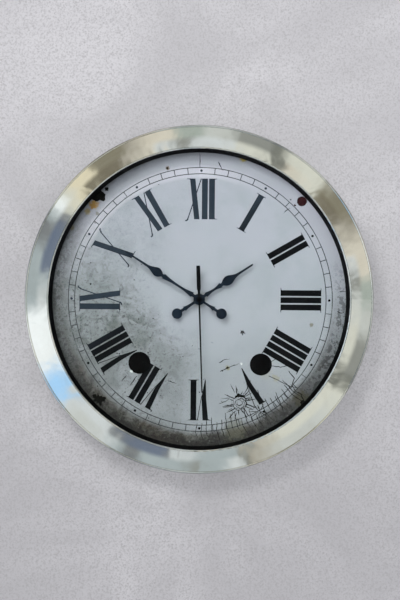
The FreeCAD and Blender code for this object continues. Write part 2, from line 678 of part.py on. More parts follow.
def rounded_block(inset, front, rear):
    """A block of the housing's outline, drawn in by an inset, with rounded corners."""
    block = box(-HALF_WIDTH + inset, HALF_WIDTH - inset, -HOUSING_BOTTOM + inset, HOUSING_TOP - inset,
                front, rear)
    upright = [edge for edge in block.Edges if abs(edge.tangentAt(edge.FirstParameter).y) > 0.9]
    return block.makeFillet(HOUSING_CORNER - inset, upright)


def bearing_cup(place):
    """A raised boss on the housing's floor with a blind hole for a pivot."""
    return cylinder(PIVOT_RADIUS + CUP_WALL, HOUSING_FLOOR + FUSE_OVERLAP, HOUSING_FLOOR - CUP_HEIGHT, place)


def movement_front_case():
    """Moulded tray: floor, side walls, battery bay wall, posts, bearing bosses and motion stud."""
    tray = rounded_block(0, HOUSING_FRONT, LID_FRONT)
    tray = tray.cut(rounded_block(HOUSING_WALL, HOUSING_FLOOR, LID_FRONT - 1))
    bay_wall = box(-HALF_WIDTH + 0.5, HALF_WIDTH - 0.5, BAY_WALL_BOTTOM, BAY_WALL_TOP,
                   HOUSING_FLOOR + FUSE_OVERLAP, LID_FRONT)
    solids = [tray, bay_wall]
    solids += [post(place, PLATE_FRONT) for place in PLATE_POSTS]
    solids += [post(place, CIRCUIT_FRONT) for place in CIRCUIT_POSTS]
    solids += [post(place, STATOR_FRONT) for place in core_end_places()]
    pivots = (THIRD_PLACE, FIFTH_PLACE, ROTOR_PLACE)
    solids += [bearing_cup(place) for place in pivots]
    stud_rear = MOTION_LAYER - STUD_REACH
    solids.append(cylinder(STUD_RADIUS, HOUSING_FLOOR + FUSE_OVERLAP, stud_rear, MOTION_PLACE))
    body = fuse_all(solids)
    bore = PIVOT_RADIUS + RUNNING_CLEARANCE
    for place in pivots:
        body = body.cut(cylinder(bore, HOUSING_FLOOR + PIVOT_HOLE_DEPTH, HOUSING_FLOOR - 1, place))
    knob_bore = KNOB_SHAFT_RADIUS / 2 + RUNNING_CLEARANCE
    body = body.cut(cylinder(knob_bore, HOUSING_FLOOR + 0.6, HOUSING_FLOOR - 1, KNOB_PLACE))
    seat = BUSH_FLANGE_RADIUS + THREAD_CLEARANCE
    body = body.cut(cylinder(seat, HOUSING_FLOOR + BUSH_FLANGE, HOUSING_FLOOR - 1))
    return body.cut(cylinder(BUSH_RADIUS + THREAD_CLEARANCE, HOUSING_FRONT + 1, HOUSING_FLOOR - 1))


def centre_bush():
    """Threaded brass bush through the board and the dial, with a flange inside the housing."""
    bush = cylinder(BUSH_RADIUS, BUSH_FRONT, HOUSING_FLOOR)
    bush = bush.makeChamfer(0.4, rim_edges(bush, BUSH_FRONT))
    flange = cylinder(BUSH_FLANGE_RADIUS, HOUSING_FLOOR + BUSH_FLANGE, HOUSING_FLOOR)
    body = bush.fuse(flange).cut(cylinder(BUSH_BORE, BUSH_FRONT + 1, HOUSING_FLOOR - 1))
    depth = DIAL_FRONT + WASHER_THICKNESS + NUT_THICKNESS + THREAD_RUNOUT
    while depth < BUSH_FRONT - THREAD_PITCH / 2:
        body = body.cut(tube(BUSH_RADIUS + 1, BUSH_RADIUS - THREAD_DEPTH, depth + THREAD_PITCH / 2, depth))
        depth += THREAD_PITCH
    return body.removeSplitter()


def rubber_washer():
    """Square rubber washer between the housing and the backing board."""
    side = HALF_WIDTH - 6
    sheet = box(-side, side, -side, HOUSING_TOP - 2, BOARD_REAR, HOUSING_FRONT)
    return sheet.cut(cylinder(BUSH_RADIUS + BOARD_HOLE_CLEARANCE, BOARD_REAR + 1, HOUSING_FRONT - 1))


def dial_washer():
    """Brass washer under the nut."""
    front = DIAL_FRONT + WASHER_THICKNESS
    return tube(WASHER_RADIUS, BUSH_RADIUS + THREAD_CLEARANCE, front, DIAL_FRONT)


def hex_nut():
    """Thin hexagonal nut that clamps the movement to the dial."""
    corner_radius = NUT_ACROSS_FLATS / math.sqrt(3)
    corners = [step_from(AXIS, 60 * number + 30, corner_radius) for number in range(6)]
    rear = DIAL_FRONT + WASHER_THICKNESS
    body = flat(corners, NUT_FRONT, rear)
    rounding = Part.makeCone(corner_radius + 1.2, corner_radius - 0.5, 1.7, Vector(0, -NUT_FRONT + 1.7, 0),
                             Vector(0, -1, 0))
    body = body.common(rounding.fuse(cylinder(corner_radius + 1.2, NUT_FRONT - 1.7, rear - 1)))
    return body.cut(cylinder(BUSH_RADIUS + THREAD_CLEARANCE, NUT_FRONT + 1, rear - 1))


def movement_rear_case():
    """Lid of the housing above the battery bay, with a locating lip and the knob's hole."""
    lid = rounded_block(0, LID_FRONT, HOUSING_REAR)
    below = box(-HALF_WIDTH - 1, HALF_WIDTH + 1, -HOUSING_BOTTOM - 1, BAY_WALL_BOTTOM, LID_FRONT + 9, -9)
    lid = lid.cut(below)
    inset = HOUSING_WALL + LID_CLEARANCE
    lip_front = LID_FRONT + LID_LIP
    lip = rounded_block(inset, lip_front, LID_FRONT - 0.1).cut(rounded_block(inset + 0.8, lip_front + 1, -9))
    under = box(-HALF_WIDTH, HALF_WIDTH, -HOUSING_BOTTOM, BAY_WALL_TOP + LID_CLEARANCE, lip_front + 9, -9)
    lid = fuse_all([lid, lip.cut(under)])
    bore = KNOB_SHAFT_RADIUS + RUNNING_CLEARANCE
    boss = cylinder(KNOB_BOSS_RADIUS, LID_FRONT + 1, LID_FRONT - 0.1, KNOB_PLACE)
    lid = fuse_all([lid, boss]).cut(cylinder(bore, LID_FRONT + 3, HOUSING_REAR - 1, KNOB_PLACE))
    notch = cylinder(POST_RADIUS, LID_FRONT + LID_LIP + 1, LID_FRONT, PLATE_POSTS[0])
    return lid.cut(notch)


def train_plate():
    """Rear bearing plate of the gear train, screwed to three posts."""
    outline = list(TRAIN_PLATE_OUTLINE)
    plate = flat(outline, PLATE_FRONT, PLATE_REAR)
    holes = [(place, PIVOT_RADIUS + RUNNING_CLEARANCE) for place in (THIRD_PLACE, FIFTH_PLACE, ROTOR_PLACE)]
    holes.append((AXIS, SECOND_ARBOR_RADIUS + RUNNING_CLEARANCE))
    holes += [(place, SMALL_SCREW_RADIUS + THREAD_CLEARANCE) for place in PLATE_POSTS]
    for place, radius in holes:
        plate = plate.cut(cylinder(radius, PLATE_FRONT + 1, PLATE_REAR - 1, place))
    return plate


def stator():
    """Soft-iron stator: a bar with the rotor's bore and a leg up to each end of the coil's core."""
    low = ROTOR_PLACE[1] - STATOR_BAR_HEIGHT / 2
    high = ROTOR_PLACE[1] + STATOR_BAR_HEIGHT / 2
    leg_top = CORE_HEIGHT + CORE_WIDTH / 2
    solids = [
        box(STATOR_LEFT, STATOR_RIGHT, low, high, STATOR_FRONT, STATOR_REAR),
        box(STATOR_LEFT, STATOR_LEFT + STATOR_LEG_WIDTH, low, leg_top, STATOR_FRONT, STATOR_REAR),
        box(STATOR_RIGHT - STATOR_LEG_WIDTH, STATOR_RIGHT, low, leg_top, STATOR_FRONT, STATOR_REAR),
        cylinder(STATOR_RING, STATOR_FRONT, STATOR_REAR, ROTOR_PLACE),
    ]
    plate = fuse_all(solids).cut(cylinder(STATOR_BORE, STATOR_FRONT + 1, STATOR_REAR - 1, ROTOR_PLACE))
    for place in core_end_places():
        hole = cylinder(SMALL_SCREW_RADIUS + THREAD_CLEARANCE, STATOR_FRONT + 1, STATOR_REAR - 1, place)
        plate = plate.cut(hole)
    return plate


def coil_core():
    """Soft-iron bar through the coil, screwed to the stator's legs."""
    half = CORE_WIDTH / 2
    bar = box(STATOR_LEFT, STATOR_RIGHT, CORE_HEIGHT - half, CORE_HEIGHT + half, STATOR_REAR, CORE_REAR)
    for place in core_end_places():
        bar = bar.cut(cylinder(SMALL_SCREW_RADIUS + THREAD_CLEARANCE, STATOR_REAR + 1, CORE_REAR - 1, place))
    return bar


def along_x(radius, left, right):
    """A round bar along X, centred on the coil's core."""
    start = Vector(left, -CORE_DEPTH, CORE_HEIGHT)
    return Part.makeCylinder(radius, right - left, start, Vector(1, 0, 0))


def core_slot(margin):
    """The rectangular space of the core, widened by a margin."""
    half = CORE_WIDTH / 2 + margin
    return box(STATOR_LEFT - 1, STATOR_RIGHT + 1, CORE_HEIGHT - half, CORE_HEIGHT + half,
               STATOR_REAR + margin, CORE_REAR - margin)


def coil_bobbin():
    """Moulded bobbin with a flange at each end."""
    middle = (STATOR_LEFT + STATOR_RIGHT) / 2
    left = middle - BOBBIN_LENGTH / 2
    right = middle + BOBBIN_LENGTH / 2
    barrel_radius = math.hypot(CORE_WIDTH, CORE_THICKNESS) / 2 + BOBBIN_TUBE_WALL
    solids = [
        along_x(BOBBIN_FLANGE_RADIUS, left, left + BOBBIN_FLANGE),
        along_x(BOBBIN_FLANGE_RADIUS, right - BOBBIN_FLANGE, right),
        along_x(barrel_radius, left, right),
    ]
    return fuse_all(solids).cut(core_slot(THREAD_CLEARANCE))


def coil_winding():
    """Copper winding between the bobbin's flanges."""
    middle = (STATOR_LEFT + STATOR_RIGHT) / 2
    reach = BOBBIN_LENGTH / 2 - BOBBIN_FLANGE
    barrel_radius = math.hypot(CORE_WIDTH, CORE_THICKNESS) / 2 + BOBBIN_TUBE_WALL
    body = along_x(WINDING_RADIUS, middle - reach, middle + reach)
    return body.cut(along_x(barrel_radius, middle - reach - 1, middle + reach + 1))


def circuit_board():
    """Small circuit board that drives the coil."""
    board = box(CIRCUIT_LEFT, CIRCUIT_RIGHT, CIRCUIT_BOTTOM, CIRCUIT_TOP, CIRCUIT_FRONT, CIRCUIT_REAR)
    for place in CIRCUIT_POSTS:
        hole = cylinder(SMALL_SCREW_RADIUS + THREAD_CLEARANCE, CIRCUIT_FRONT + 1, CIRCUIT_REAR - 1, place)
        board = board.cut(hole)
    return board


def ic_chip():
    """The timing chip under its blob of resin."""
    middle = (CIRCUIT_LEFT + CIRCUIT_RIGHT) / 2
    return Part.makeCone(2.6, 1.6, 1.0, Vector(middle, -CIRCUIT_REAR, 1.5), Vector(0, 1, 0))


def quartz_crystal():
    """Crystal in its round metal can, lying on the circuit board."""
    radius = CRYSTAL_RADIUS
    middle = (CIRCUIT_LEFT + CIRCUIT_RIGHT) / 2
    can = Part.makeCylinder(radius, 6.0, Vector(middle, -CIRCUIT_REAR + radius, -10.5), Vector(0, 0, 1))
    foot = box(middle - 0.6, middle + 0.6, -10.5, -4.5, CIRCUIT_REAR, CIRCUIT_REAR - radius)
    return can.fuse(foot).removeSplitter()


def contact_reach():
    """How far the battery's ends are from the middle of the bay."""
    return (BATTERY_LENGTH + BATTERY_CAP_LENGTH) / 2


def positive_contact():
    """Flat contact plate that the battery's cap touches."""
    inner = contact_reach() + CONTACT_GAP
    plate = box(inner, inner + CONTACT_THICKNESS, BATTERY_HEIGHT - 5, BATTERY_HEIGHT + 5,
                HOUSING_FLOOR, HOUSING_REAR + 2)
    foot = box(inner, HALF_WIDTH - HOUSING_WALL, BATTERY_HEIGHT - 5, BATTERY_HEIGHT + 5,
               HOUSING_REAR + 2 + CONTACT_THICKNESS, HOUSING_REAR + 2)
    return fuse_all([plate, foot])


def negative_contact():
    """Folded spring contact that presses on the battery's flat end."""
    inner = contact_reach() + CONTACT_GAP
    wall = HALF_WIDTH - HOUSING_WALL
    low = BATTERY_HEIGHT - 4
    high = BATTERY_HEIGHT + 4
    blade = box(-inner - CONTACT_THICKNESS, -inner, low, high, HOUSING_FLOOR - 1, HOUSING_REAR + 3)
    back = box(-wall, -wall + CONTACT_THICKNESS, low, high, HOUSING_FLOOR - 1, HOUSING_REAR + 3)
    fold = box(-wall, -inner, low, high, HOUSING_REAR + 3 + CONTACT_THICKNESS, HOUSING_REAR + 3)
    return fuse_all([blade, back, fold])


def small_screw(place, seat):
    """A small flat-head screw whose head rests at a depth."""
    shank = cylinder(SMALL_SCREW_RADIUS, seat + SMALL_SCREW_LENGTH, seat, place)
    head = cylinder(SMALL_SCREW_HEAD_RADIUS, seat, seat - SMALL_SCREW_HEAD_HEIGHT, place)
    slot = box(place[0] - 2, place[0] + 2, place[1] - 0.2, place[1] + 0.2,
               seat - SMALL_SCREW_HEAD_HEIGHT + 0.3, seat - 2)
    return fuse_all([shank, head]).cut(slot)


def movement_screws():
    """The screws of the train plate, the circuit board and the stator."""
    screws = [small_screw(place, PLATE_REAR) for place in PLATE_POSTS]
    screws += [small_screw(place, CIRCUIT_REAR) for place in CIRCUIT_POSTS]
    screws += [small_screw(place, CORE_REAR) for place in core_end_places()]
    return Part.makeCompound(screws)


# ---------------------------------------------------------------- gear train

# Tooth phases, so that every pair is in mesh at rest
CANNON_PHASE = 0.0
MOTION_WHEEL_PHASE = partner_phase(CANNON_TEETH, CANNON_PHASE, MOTION_WHEEL_TEETH, MOTION_DIRECTION)
KNOB_PHASE = partner_phase(MOTION_WHEEL_TEETH, MOTION_WHEEL_PHASE, KNOB_TEETH, KNOB_DIRECTION)
MOTION_PINION_PHASE = 0.0
HOUR_WHEEL_PHASE = partner_phase(MOTION_PINION_TEETH, MOTION_PINION_PHASE, HOUR_WHEEL_TEETH,
                                 MOTION_DIRECTION + 180)
CENTRE_WHEEL_PHASE = 0.0
THIRD_PINION_PHASE = partner_phase(CENTRE_WHEEL_TEETH, CENTRE_WHEEL_PHASE, THIRD_PINION_TEETH,
                                   THIRD_DIRECTION)
THIRD_WHEEL_PHASE = 0.0
SECOND_PINION_PHASE = partner_phase(THIRD_WHEEL_TEETH, THIRD_WHEEL_PHASE, SECOND_PINION_TEETH,
                                    THIRD_DIRECTION + 180)
SECOND_WHEEL_PHASE = 0.0
FIFTH_PINION_PHASE = partner_phase(SECOND_WHEEL_TEETH, SECOND_WHEEL_PHASE, FIFTH_PINION_TEETH,
                                   FIFTH_DIRECTION)
FIFTH_WHEEL_PHASE = 0.0
ROTOR_PHASE = partner_phase(FIFTH_WHEEL_TEETH, FIFTH_WHEEL_PHASE, ROTOR_TEETH, ROTOR_DIRECTION)
PIVOT_FRONT = HOUSING_FLOOR + 0.25
PIVOT_REAR = PLATE_REAR + 0.1


def rotor_pinion():
    """Moulded pinion and arbor that carry the magnet."""
    arbor = cylinder(PIVOT_RADIUS, PIVOT_FRONT, PIVOT_REAR, ROTOR_PLACE)
    teeth = pinion(ROTOR_TEETH, ROTOR_MODULE, ROTOR_PHASE, ROTOR_PLACE, FIFTH_LAYER)
    return fuse_all([arbor, teeth])


def rotor_magnet():
    """Two-pole ring magnet pressed on the rotor's arbor."""
    return tube(MAGNET_RADIUS, PIVOT_RADIUS, MAGNET_FRONT, MAGNET_FRONT - MAGNET_DEPTH, ROTOR_PLACE)


def fifth_wheel():
    """First reduction wheel, in one moulding with its pinion and arbor."""
    wheel = gear(FIFTH_WHEEL_TEETH, ROTOR_MODULE, FIFTH_WHEEL_PHASE, FIFTH_PLACE, FIFTH_LAYER)
    wheel = spoked(wheel, *FIFTH_SPOKES, FIFTH_PLACE, FIFTH_LAYER)
    arbor = cylinder(PIVOT_RADIUS, PIVOT_FRONT, PIVOT_REAR, FIFTH_PLACE)
    link = cylinder(0.9, SECOND_LAYER, FIFTH_LAYER - GEAR_THICKNESS, FIFTH_PLACE)
    teeth = pinion(FIFTH_PINION_TEETH, FIFTH_MODULE, FIFTH_PINION_PHASE, FIFTH_PLACE, SECOND_LAYER)
    return fuse_all([wheel, arbor, link, teeth])


def second_wheel():
    """Seconds wheel with its pinion, on the long arbor that carries the seconds hand."""
    wheel = gear(SECOND_WHEEL_TEETH, FIFTH_MODULE, SECOND_WHEEL_PHASE, AXIS, SECOND_LAYER)
    wheel = spoked(wheel, *SECOND_SPOKES, AXIS, SECOND_LAYER)
    arbor = cylinder(SECOND_ARBOR_RADIUS, SECOND_ARBOR_FRONT, PIVOT_REAR)
    link = cylinder(0.75, THIRD_LAYER, SECOND_LAYER - GEAR_THICKNESS)
    teeth = pinion(SECOND_PINION_TEETH, SECOND_MODULE, SECOND_PINION_PHASE, AXIS, THIRD_LAYER)
    return fuse_all([wheel, arbor, link, teeth])


def third_wheel():
    """Third wheel with the pinion that drives the centre wheel."""
    wheel = gear(THIRD_WHEEL_TEETH, SECOND_MODULE, THIRD_WHEEL_PHASE, THIRD_PLACE, THIRD_LAYER)
    wheel = spoked(wheel, *THIRD_SPOKES, THIRD_PLACE, THIRD_LAYER)
    arbor = cylinder(PIVOT_RADIUS, PIVOT_FRONT, PIVOT_REAR, THIRD_PLACE)
    link = cylinder(0.7, CENTRE_LAYER, THIRD_LAYER - GEAR_THICKNESS, THIRD_PLACE)
    teeth = pinion(THIRD_PINION_TEETH, THIRD_MODULE, THIRD_PINION_PHASE, THIRD_PLACE, CENTRE_LAYER)
    return fuse_all([wheel, arbor, link, teeth])


def centre_wheel():
    """Centre wheel, loose on the minute pipe behind the clutch spring."""
    wheel = gear(CENTRE_WHEEL_TEETH, THIRD_MODULE, CENTRE_WHEEL_PHASE, AXIS, CENTRE_LAYER)
    wheel = spoked(wheel, *CENTRE_SPOKES, AXIS, CENTRE_LAYER)
    return wheel.cut(cylinder(MINUTE_PIPE_RADIUS, CENTRE_LAYER + 1, CENTRE_LAYER - 2))


def clutch_spring():
    """Three-leafed washer that drives the minute pipe and slips when the hands are set."""
    front = MOTION_LAYER - GEAR_THICKNESS - PINION_OVERHANG
    washer = cylinder(2.2, front, CENTRE_LAYER)
    for number in range(3):
        leaf = box(-0.5, 0.5, 0, 3.2, CENTRE_LAYER + 0.3, CENTRE_LAYER)
        washer = washer.fuse(turned(leaf, 120 * number))
    return washer.removeSplitter().cut(cylinder(MINUTE_PIPE_RADIUS, front + 1, CENTRE_LAYER - 1))


def minute_pipe():
    """Cannon pinion and the pipe that carries the minute hand."""
    pipe = cylinder(MINUTE_PIPE_RADIUS, MINUTE_PIPE_FRONT, CENTRE_LAYER - GEAR_THICKNESS)
    teeth = pinion(CANNON_TEETH, CANNON_MODULE, CANNON_PHASE, AXIS, MOTION_LAYER)
    bore = cylinder(MINUTE_PIPE_BORE, MINUTE_PIPE_FRONT + 1, 0)
    return fuse_all([pipe, teeth]).cut(bore)


def motion_wheel():
    """Motion wheel and its pinion, free on the housing's stud."""
    wheel = gear(MOTION_WHEEL_TEETH, CANNON_MODULE, MOTION_WHEEL_PHASE, MOTION_PLACE, MOTION_LAYER)
    wheel = spoked(wheel, *MOTION_SPOKES, MOTION_PLACE, MOTION_LAYER)
    hub_front = HOUR_LAYER + PINION_OVERHANG
    teeth = gear(MOTION_PINION_TEETH, MOTION_MODULE, MOTION_PINION_PHASE, MOTION_PLACE, hub_front,
                 hub_front - MOTION_LAYER + GEAR_THICKNESS / 2)
    bore = cylinder(STUD_RADIUS + RUNNING_CLEARANCE, HOUSING_FLOOR, 0, MOTION_PLACE)
    return fuse_all([wheel, teeth]).cut(bore)


def hour_wheel():
    """Hour wheel and the pipe that carries the hour hand."""
    wheel = gear(HOUR_WHEEL_TEETH, MOTION_MODULE, HOUR_WHEEL_PHASE, AXIS, HOUR_LAYER)
    pipe = cylinder(HOUR_PIPE_RADIUS, HOUR_PIPE_FRONT, HOUR_LAYER - GEAR_THICKNESS)
    return fuse_all([wheel, pipe]).cut(cylinder(HOUR_PIPE_BORE, HOUR_PIPE_FRONT + 1, 0))


def setting_knob():
    """Knob behind the lid, its shaft and the pinion that turns the motion wheel."""
    knob = cylinder(KNOB_RADIUS, KNOB_REAR + KNOB_THICKNESS, KNOB_REAR, KNOB_PLACE)
    for number in range(KNOB_NOTCHES):
        place = step_from(KNOB_PLACE, 360 * number / KNOB_NOTCHES, KNOB_RADIUS)
        knob = knob.cut(cylinder(KNOB_NOTCH_RADIUS, HOUSING_REAR + 1, 0, place))
    shaft = cylinder(KNOB_SHAFT_RADIUS, MOTION_LAYER - GEAR_THICKNESS, KNOB_REAR, KNOB_PLACE)
    teeth = pinion(KNOB_TEETH, CANNON_MODULE, KNOB_PHASE, KNOB_PLACE, MOTION_LAYER)
    pivot = cylinder(KNOB_SHAFT_RADIUS / 2, HOUSING_FLOOR + 0.4, MOTION_LAYER, KNOB_PLACE)
    return fuse_all([knob, shaft, teeth, pivot])


# ---------------------------------------------------------------- hands

def bar_outline(sections, front):
    """A symmetrical plate along Z through (height, half width) sections, with straight sides."""
    right = [(half, height) for height, half in sections]
    left = [(-half, height) for height, half in reversed(sections)]
    return flat(right + left, front, front - HAND_THICKNESS)


def curved_bar(sections, front):
    """A symmetrical plate along Z whose edges run smoothly through (height, half width) sections."""
    edges = []
    for side in (1, -1):
        spline = Part.BSplineCurve()
        spline.interpolate([Vector(side * half, -front, height) for height, half in sections])
        edges.append(spline.toShape())
    for height, half in (sections[0], sections[-1]):
        edges.append(Part.makeLine(Vector(-half, -front, height), Vector(half, -front, height)))
    face = Part.Face(Part.Wire(Part.sortEdges(edges)[0]))
    return face.extrude(Vector(0, HAND_THICKNESS, 0))


def spade_hand(rear, angle, hub, bore, disc, bars, curves):
    """A spade hand of hub, tail disc, straight bars and flared or leaf-shaped lengths."""
    front = rear + HAND_THICKNESS
    disc_height, disc_radius = disc
    solids = [cylinder(hub, front, rear), cylinder(disc_radius, front, rear, (0, -disc_height))]
    solids += [bar_outline(sections, front) for sections in bars]
    solids += [curved_bar(sections, front) for sections in curves]
    body = fuse_all(solids).cut(cylinder(bore, front + 1, rear - 1))
    return turned(body, angle)


def hour_hand():
    """Hour hand with collars and a tail disc."""
    return spade_hand(HOUR_HAND_REAR, HOUR_HAND_ANGLE, HOUR_HUB_RADIUS, HOUR_PIPE_RADIUS, HOUR_DISC,
                      HOUR_HAND_BARS, HOUR_HAND_CURVES)


def minute_hand():
    """Minute hand with collars and a tail disc."""
    return spade_hand(MINUTE_HAND_REAR, MINUTE_HAND_ANGLE, MINUTE_HUB_RADIUS, MINUTE_PIPE_RADIUS,
                      MINUTE_DISC, MINUTE_HAND_BARS, MINUTE_HAND_CURVES)


def second_hand():
    """Straight seconds hand with a bar tail."""
    front = SECOND_HAND_REAR + HAND_THICKNESS
    solids = [cylinder(SECOND_HUB_RADIUS, front, SECOND_HAND_REAR)]
    solids += [bar_outline(sections, front) for sections in SECOND_HAND_BARS]
    body = fuse_all(solids).cut(cylinder(SECOND_ARBOR_RADIUS, front + 1, SECOND_HAND_REAR - 1))
    return turned(body, SECOND_HAND_ANGLE)


def collet(bore, front):
    """A short sleeve that grips a pipe behind its hand."""
    return tube(bore + COLLET_WALL, bore, front, front - COLLET_LENGTH)


def hour_hand_bush():
    """Brass collet that grips the hour pipe behind the hour hand."""
    return collet(HOUR_PIPE_RADIUS, HOUR_HAND_REAR)


def minute_hand_bush():
    """Brass collet that grips the minute pipe behind the minute hand."""
    return collet(MINUTE_PIPE_RADIUS, MINUTE_HAND_REAR)


def second_hand_cap():
    """Domed cap that grips the end of the seconds arbor."""
    rear = SECOND_HAND_REAR + HAND_THICKNESS
    top = rear + CAP_HEIGHT
    edge = (CAP_RADIUS, rear)
    crown = (CAP_CROWN_RADIUS, top)
    return revolve([
        line_edge((SECOND_ARBOR_RADIUS, rear), edge),
        arc_edge(edge, (CAP_RADIUS * 0.76, rear + CAP_HEIGHT * 0.72), crown),
        line_edge(crown, (0, top)),
        line_edge((0, top), (0, SECOND_ARBOR_FRONT)),
        line_edge((0, SECOND_ARBOR_FRONT), (SECOND_ARBOR_RADIUS, SECOND_ARBOR_FRONT)),
        line_edge((SECOND_ARBOR_RADIUS, SECOND_ARBOR_FRONT), (SECOND_ARBOR_RADIUS, rear)),
    ])


# ---------------------------------------------------------------- battery

def along_bay(radius, left, right):
    """A round bar along X on the battery's axis."""
    start = Vector(left, -BATTERY_DEPTH, BATTERY_HEIGHT)
    return Part.makeCylinder(radius, right - left, start, Vector(1, 0, 0))


def battery_can():
    """Steel can of the battery, with its flat negative end."""
    left = -contact_reach()
    can = along_bay(BATTERY_RADIUS - BATTERY_SLEEVE, left, left + BATTERY_LENGTH)
    return can.makeChamfer(BATTERY_CHAMFER, [edge for edge in can.Edges if edge.BoundBox.XLength < 0.01])


def battery_sleeve():
    """Plastic sleeve shrunk on the can."""
    left = -contact_reach() + SLEEVE_SETBACK
    right = left + BATTERY_LENGTH - 2 * SLEEVE_SETBACK
    sleeve = along_bay(BATTERY_RADIUS, left, right)
    return sleeve.cut(along_bay(BATTERY_RADIUS - BATTERY_SLEEVE, left - 1, right + 1))


def battery_cap():
    """Positive cap of the battery."""
    right = contact_reach()
    return along_bay(BATTERY_CAP_RADIUS, right - BATTERY_CAP_LENGTH, right)


# ---------------------------------------------------------------- export

PIECES = {
    "bezel_ring": bezel_with_holes,
    "case_shell": case_shell,
    "glass_lens": glass_lens,
    "glass_gasket": glass_gasket,
    "spacer_ring": spacer_ring,
    "dial_plate": dial_plate,
    "dial_backing": dial_backing,
    "case_screws": case_screws,
    "hanger_plate": hanger_plate,
    "hanger_rivets": hanger_rivets,
    "movement_front_case": movement_front_case,
    "centre_bush": centre_bush,
    "rubber_washer": rubber_washer,
    "dial_washer": dial_washer,
    "hex_nut": hex_nut,
    "movement_rear_case": movement_rear_case,
    "train_plate": train_plate,
    "stator": stator,
    "coil_core": coil_core,
    "coil_bobbin": coil_bobbin,
    "coil_winding": coil_winding,
    "circuit_board": circuit_board,
    "ic_chip": ic_chip,
    "quartz_crystal": quartz_crystal,
    "positive_contact": positive_contact,
    "negative_contact": negative_contact,
    "movement_screws": movement_screws,
    "rotor_pinion": rotor_pinion,
    "rotor_magnet": rotor_magnet,
    "fifth_wheel": fifth_wheel,
    "second_wheel": second_wheel,
    "third_wheel": third_wheel,
    "centre_wheel": centre_wheel,
    "clutch_spring": clutch_spring,
    "minute_pipe": minute_pipe,
    "motion_wheel": motion_wheel,
    "hour_wheel": hour_wheel,
    "setting_knob": setting_knob,
    "hour_hand": hour_hand,
    "hour_hand_bush": hour_hand_bush,
    "minute_hand": minute_hand,
    "minute_hand_bush": minute_hand_bush,
    "second_hand": second_hand,
    "second_hand_cap": second_hand_cap,
    "battery_can": battery_can,
    "battery_sleeve": battery_sleeve,
    "battery_cap": battery_cap,
}

os.makedirs("parts", exist_ok=True)
for name, make in PIECES.items():
    shape = make()
    shape.exportStep("parts/" + name + ".step")
    print(name, "solids", len(shape.Solids), "volume %.2f" % shape.Volume, "valid", shape.isValid())
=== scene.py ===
"""Looks of the wall clock: print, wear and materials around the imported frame, and a plain studio."""

import math
import random

import bmesh
import bpy
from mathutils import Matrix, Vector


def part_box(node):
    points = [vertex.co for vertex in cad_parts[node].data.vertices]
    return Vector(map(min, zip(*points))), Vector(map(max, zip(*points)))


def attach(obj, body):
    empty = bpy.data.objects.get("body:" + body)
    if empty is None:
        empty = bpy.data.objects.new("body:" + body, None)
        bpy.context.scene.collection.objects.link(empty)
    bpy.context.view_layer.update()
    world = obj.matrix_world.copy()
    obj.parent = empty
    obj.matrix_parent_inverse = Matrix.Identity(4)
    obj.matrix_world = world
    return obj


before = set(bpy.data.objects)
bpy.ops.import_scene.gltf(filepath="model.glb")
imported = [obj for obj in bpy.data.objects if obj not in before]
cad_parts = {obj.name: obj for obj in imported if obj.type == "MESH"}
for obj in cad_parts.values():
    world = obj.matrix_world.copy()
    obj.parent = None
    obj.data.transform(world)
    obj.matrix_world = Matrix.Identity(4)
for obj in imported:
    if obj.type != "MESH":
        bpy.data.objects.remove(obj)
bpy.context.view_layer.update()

# ---------------------------------------------------------------- sizes, in metres

MM = 0.001
FULL_TURN = 2 * math.pi

DIAL_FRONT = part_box("dial_plate")[0][1]
PRINT_SINK = 0.01 * MM
PRINT_LIFT = 0.03 * MM
# Height of each layer of print, in print lifts
LAYERS = {"minute_track": 1.0, "numerals": 1.4, "five_minute_dots": 1.6, "dial_cracks": 1.8,
          "dial_chips": 1.9, "printed_key_holes": 2.0, "maroon_spot": 2.2, "bare_flakes": 2.6}
# Outlines of one layer that overlap are staggered, so that no two faces lie in one plane
STAGGER = 0.02
STAGGER_COUNT = 7

PRINT_CENTRE = (1.0 * MM, -0.15 * MM)
PRINT_TURN = 0.5
TRACK_INNER = 108.5 * MM
TRACK_OUTER = 113.9 * MM
TRACK_LINE = 0.7 * MM
DOT_RADIUS = 1.1 * MM
DOT_PLACE = 111.2 * MM
HOLE_RADIUS = 9.5 * MM
HOLE_PLACES = ((-51.6 * MM, -54.8 * MM), (53.2 * MM, -56.3 * MM))

NUMERAL_FOOT = 69.2 * MM
NUMERAL_HEIGHT = 35.1 * MM
STEM = 4.95 * MM
STEM_GAP = 1.2 * MM
STEM_FLARE = 0.05 * MM
SERIF_REACH = 2.0 * MM
SERIF_BEND = 0.5 * MM
HAIRLINE = 0.55 * MM
V_ADVANCE = 10.4 * MM
X_ADVANCE = 13.1 * MM
X_AFTER_I = 2.1 * MM
# How far the heavy stroke of each X leans, in millimetres
X_LEAN = {"IX": 5.1, "X": 7.3, "XI": 3.8, "XII": 3.8}

TARNISH = 0.75
WIRE_PITCH = 0.12 * MM
WRAP_BAND = 14.5 * MM
WRAP_BAND_EDGE = 0.2 * MM

WALL_REACH = 3.0
WALL_GAP = 0.5 * MM
FLOOR_LEVEL = -0.75
MIRROR_GAIN = 1.12
# Tilts away from the viewer, in degrees, between which one mirrored tone gives way to the next
INNER_TO_OUTER = (32, 50)
DARK_MIDDLE = (9, 5)
ROOM_EDGE = (76, 96)
